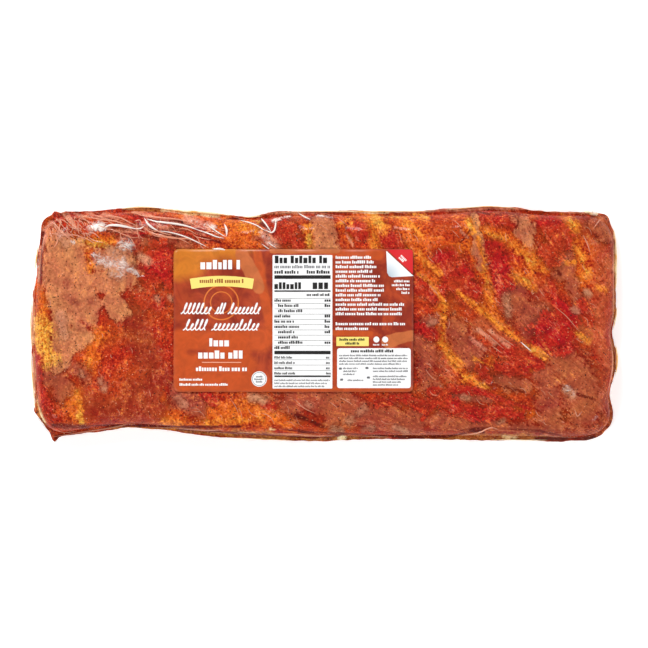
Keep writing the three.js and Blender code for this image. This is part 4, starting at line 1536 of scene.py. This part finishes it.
def yellowLayers():
    middle, top, width, height = frontPanel["arch"]
    across = np.linspace(-width / 2, width / 2, 25)
    arch = 0.0042 * across ** 2
    return [(
        ribbon(np.stack([middle + across, top + arch], 1), height)
        + [roundedRectangle(*sidePanel["strip"], 0.4)],
        label["rise"]["panel"],
    )]


def orangeLayers():
    rings = []
    for a, d, radius, width in frontPanel["rings"]:
        turns = np.linspace(0, math.tau, 49)
        rings += ribbon([(a + radius * math.cos(t), d + radius * math.sin(t)) for t in turns], width)
    return [(rings, label["rise"]["ring"])]


def brownLayers():
    middle, top, *_ = frontPanel["arch"]
    return [(blockRow(middle - 15, top + 1.2, middle + 15, 2, seed=400, bold=0.5), label["rise"]["mark"])]


def roseLayers():
    return [([roundedRectangle(*frontPanel["rule"])], label["rise"]["panel"])]


# Each colour of print: its shapes, ink and colour
inks = {
    "WhitePrint": (whiteLayers, "WhiteInk", "#F8F8F8"),
    "BlackPrint": (blackLayers, "BlackInk", "#1C1A1A"),
    "GreyPrint": (greyLayers, "GreyInk", "#6C6C70"),
    "YellowPrint": (yellowLayers, "YellowInk", "#F6E27A"),
    "OrangePrint": (orangeLayers, "OrangeInk", "#DC7430"),
    "BrownPrint": (brownLayers, "BrownInk", "#A3602A"),
    "RosePrint": (roseLayers, "RoseInk", "#F0B49A"),
}


def makePrint():
    for name, (layers, ink, hexCode) in inks.items():
        pressedOn(name, layers(), printInk(ink, hexCode))


# The printed picture of a turned-up corner
peelCorner = {
    "red": [(143.4, 0.4), (159.5, 0.4), (160.6, 1.5), (160.6, 17)],
    "flap": [(142.8, 1.2), (161, 18.2), (146.5, 19), (144.6, 18.2), (143.4, 16)],
    "marks": (151.5, 6.6, 156.5, 1.2),
    "turnAbout": (154, 6.6),
    "slant": 0.71,
}


def peelFlapInk():
    # A printed fade from white to blue-grey, as on a curled paper corner
    material, tree = newMaterial("FadedFlapInk")
    place = addNode(tree, "ShaderNodeTexCoord").outputs["Object"]
    x, y = labelPlace(143.4, 18.2)
    apart = addNode(tree, "ShaderNodeVectorMath", {
        0: place, 1: ((x - centre[0]) * mm, (y - centre[1]) * mm, 0.028),
    }, operation="DISTANCE").outputs["Value"]
    share = addNode(tree, "ShaderNodeMapRange", {0: apart, 1: 1 * mm, 2: 11 * mm})
    colour = addNode(tree, "ShaderNodeMix", {
        0: share, 6: hexColour("#B9CAD6"), 7: hexColour("#FAFCFD"),
    }, data_type="RGBA").outputs[2]
    surface = addNode(tree, "ShaderNodeBsdfPrincipled", {"Base Color": colour, "Roughness": 0.4})
    addNode(tree, "ShaderNodeOutputMaterial", {"Surface": surface})
    return material


def makePeelCorner():
    pressedOn("RedPrint", [([peelCorner["red"]], label["rise"]["panel"])], printInk("RedInk", "#D81F26"))
    pressedOn("FlapPrint", [([peelCorner["flap"]], label["rise"]["flap"])], peelFlapInk())
    left, base, right, height = peelCorner["marks"]
    overX, overY = peelCorner["turnAbout"]
    slant = peelCorner["slant"]
    turned = []
    for i in range(2):
        for shape in blockRow(left, base + i * 1.8, right, height, seed=500 + i, bold=0.62):
            turned.append([
                (
                    overX + (a - overX) * slant - (d - overY) * slant,
                    overY + (a - overX) * slant + (d - overY) * slant,
                )
                for a, d in shape
            ])
    pressedOn("CornerMarks", [(turned, label["rise"]["mark"])], printInk("CornerMarkInk", "#FBF4F2"))


makePrint()
makePeelCorner()
print("print: panels, rows of marks and the corner")
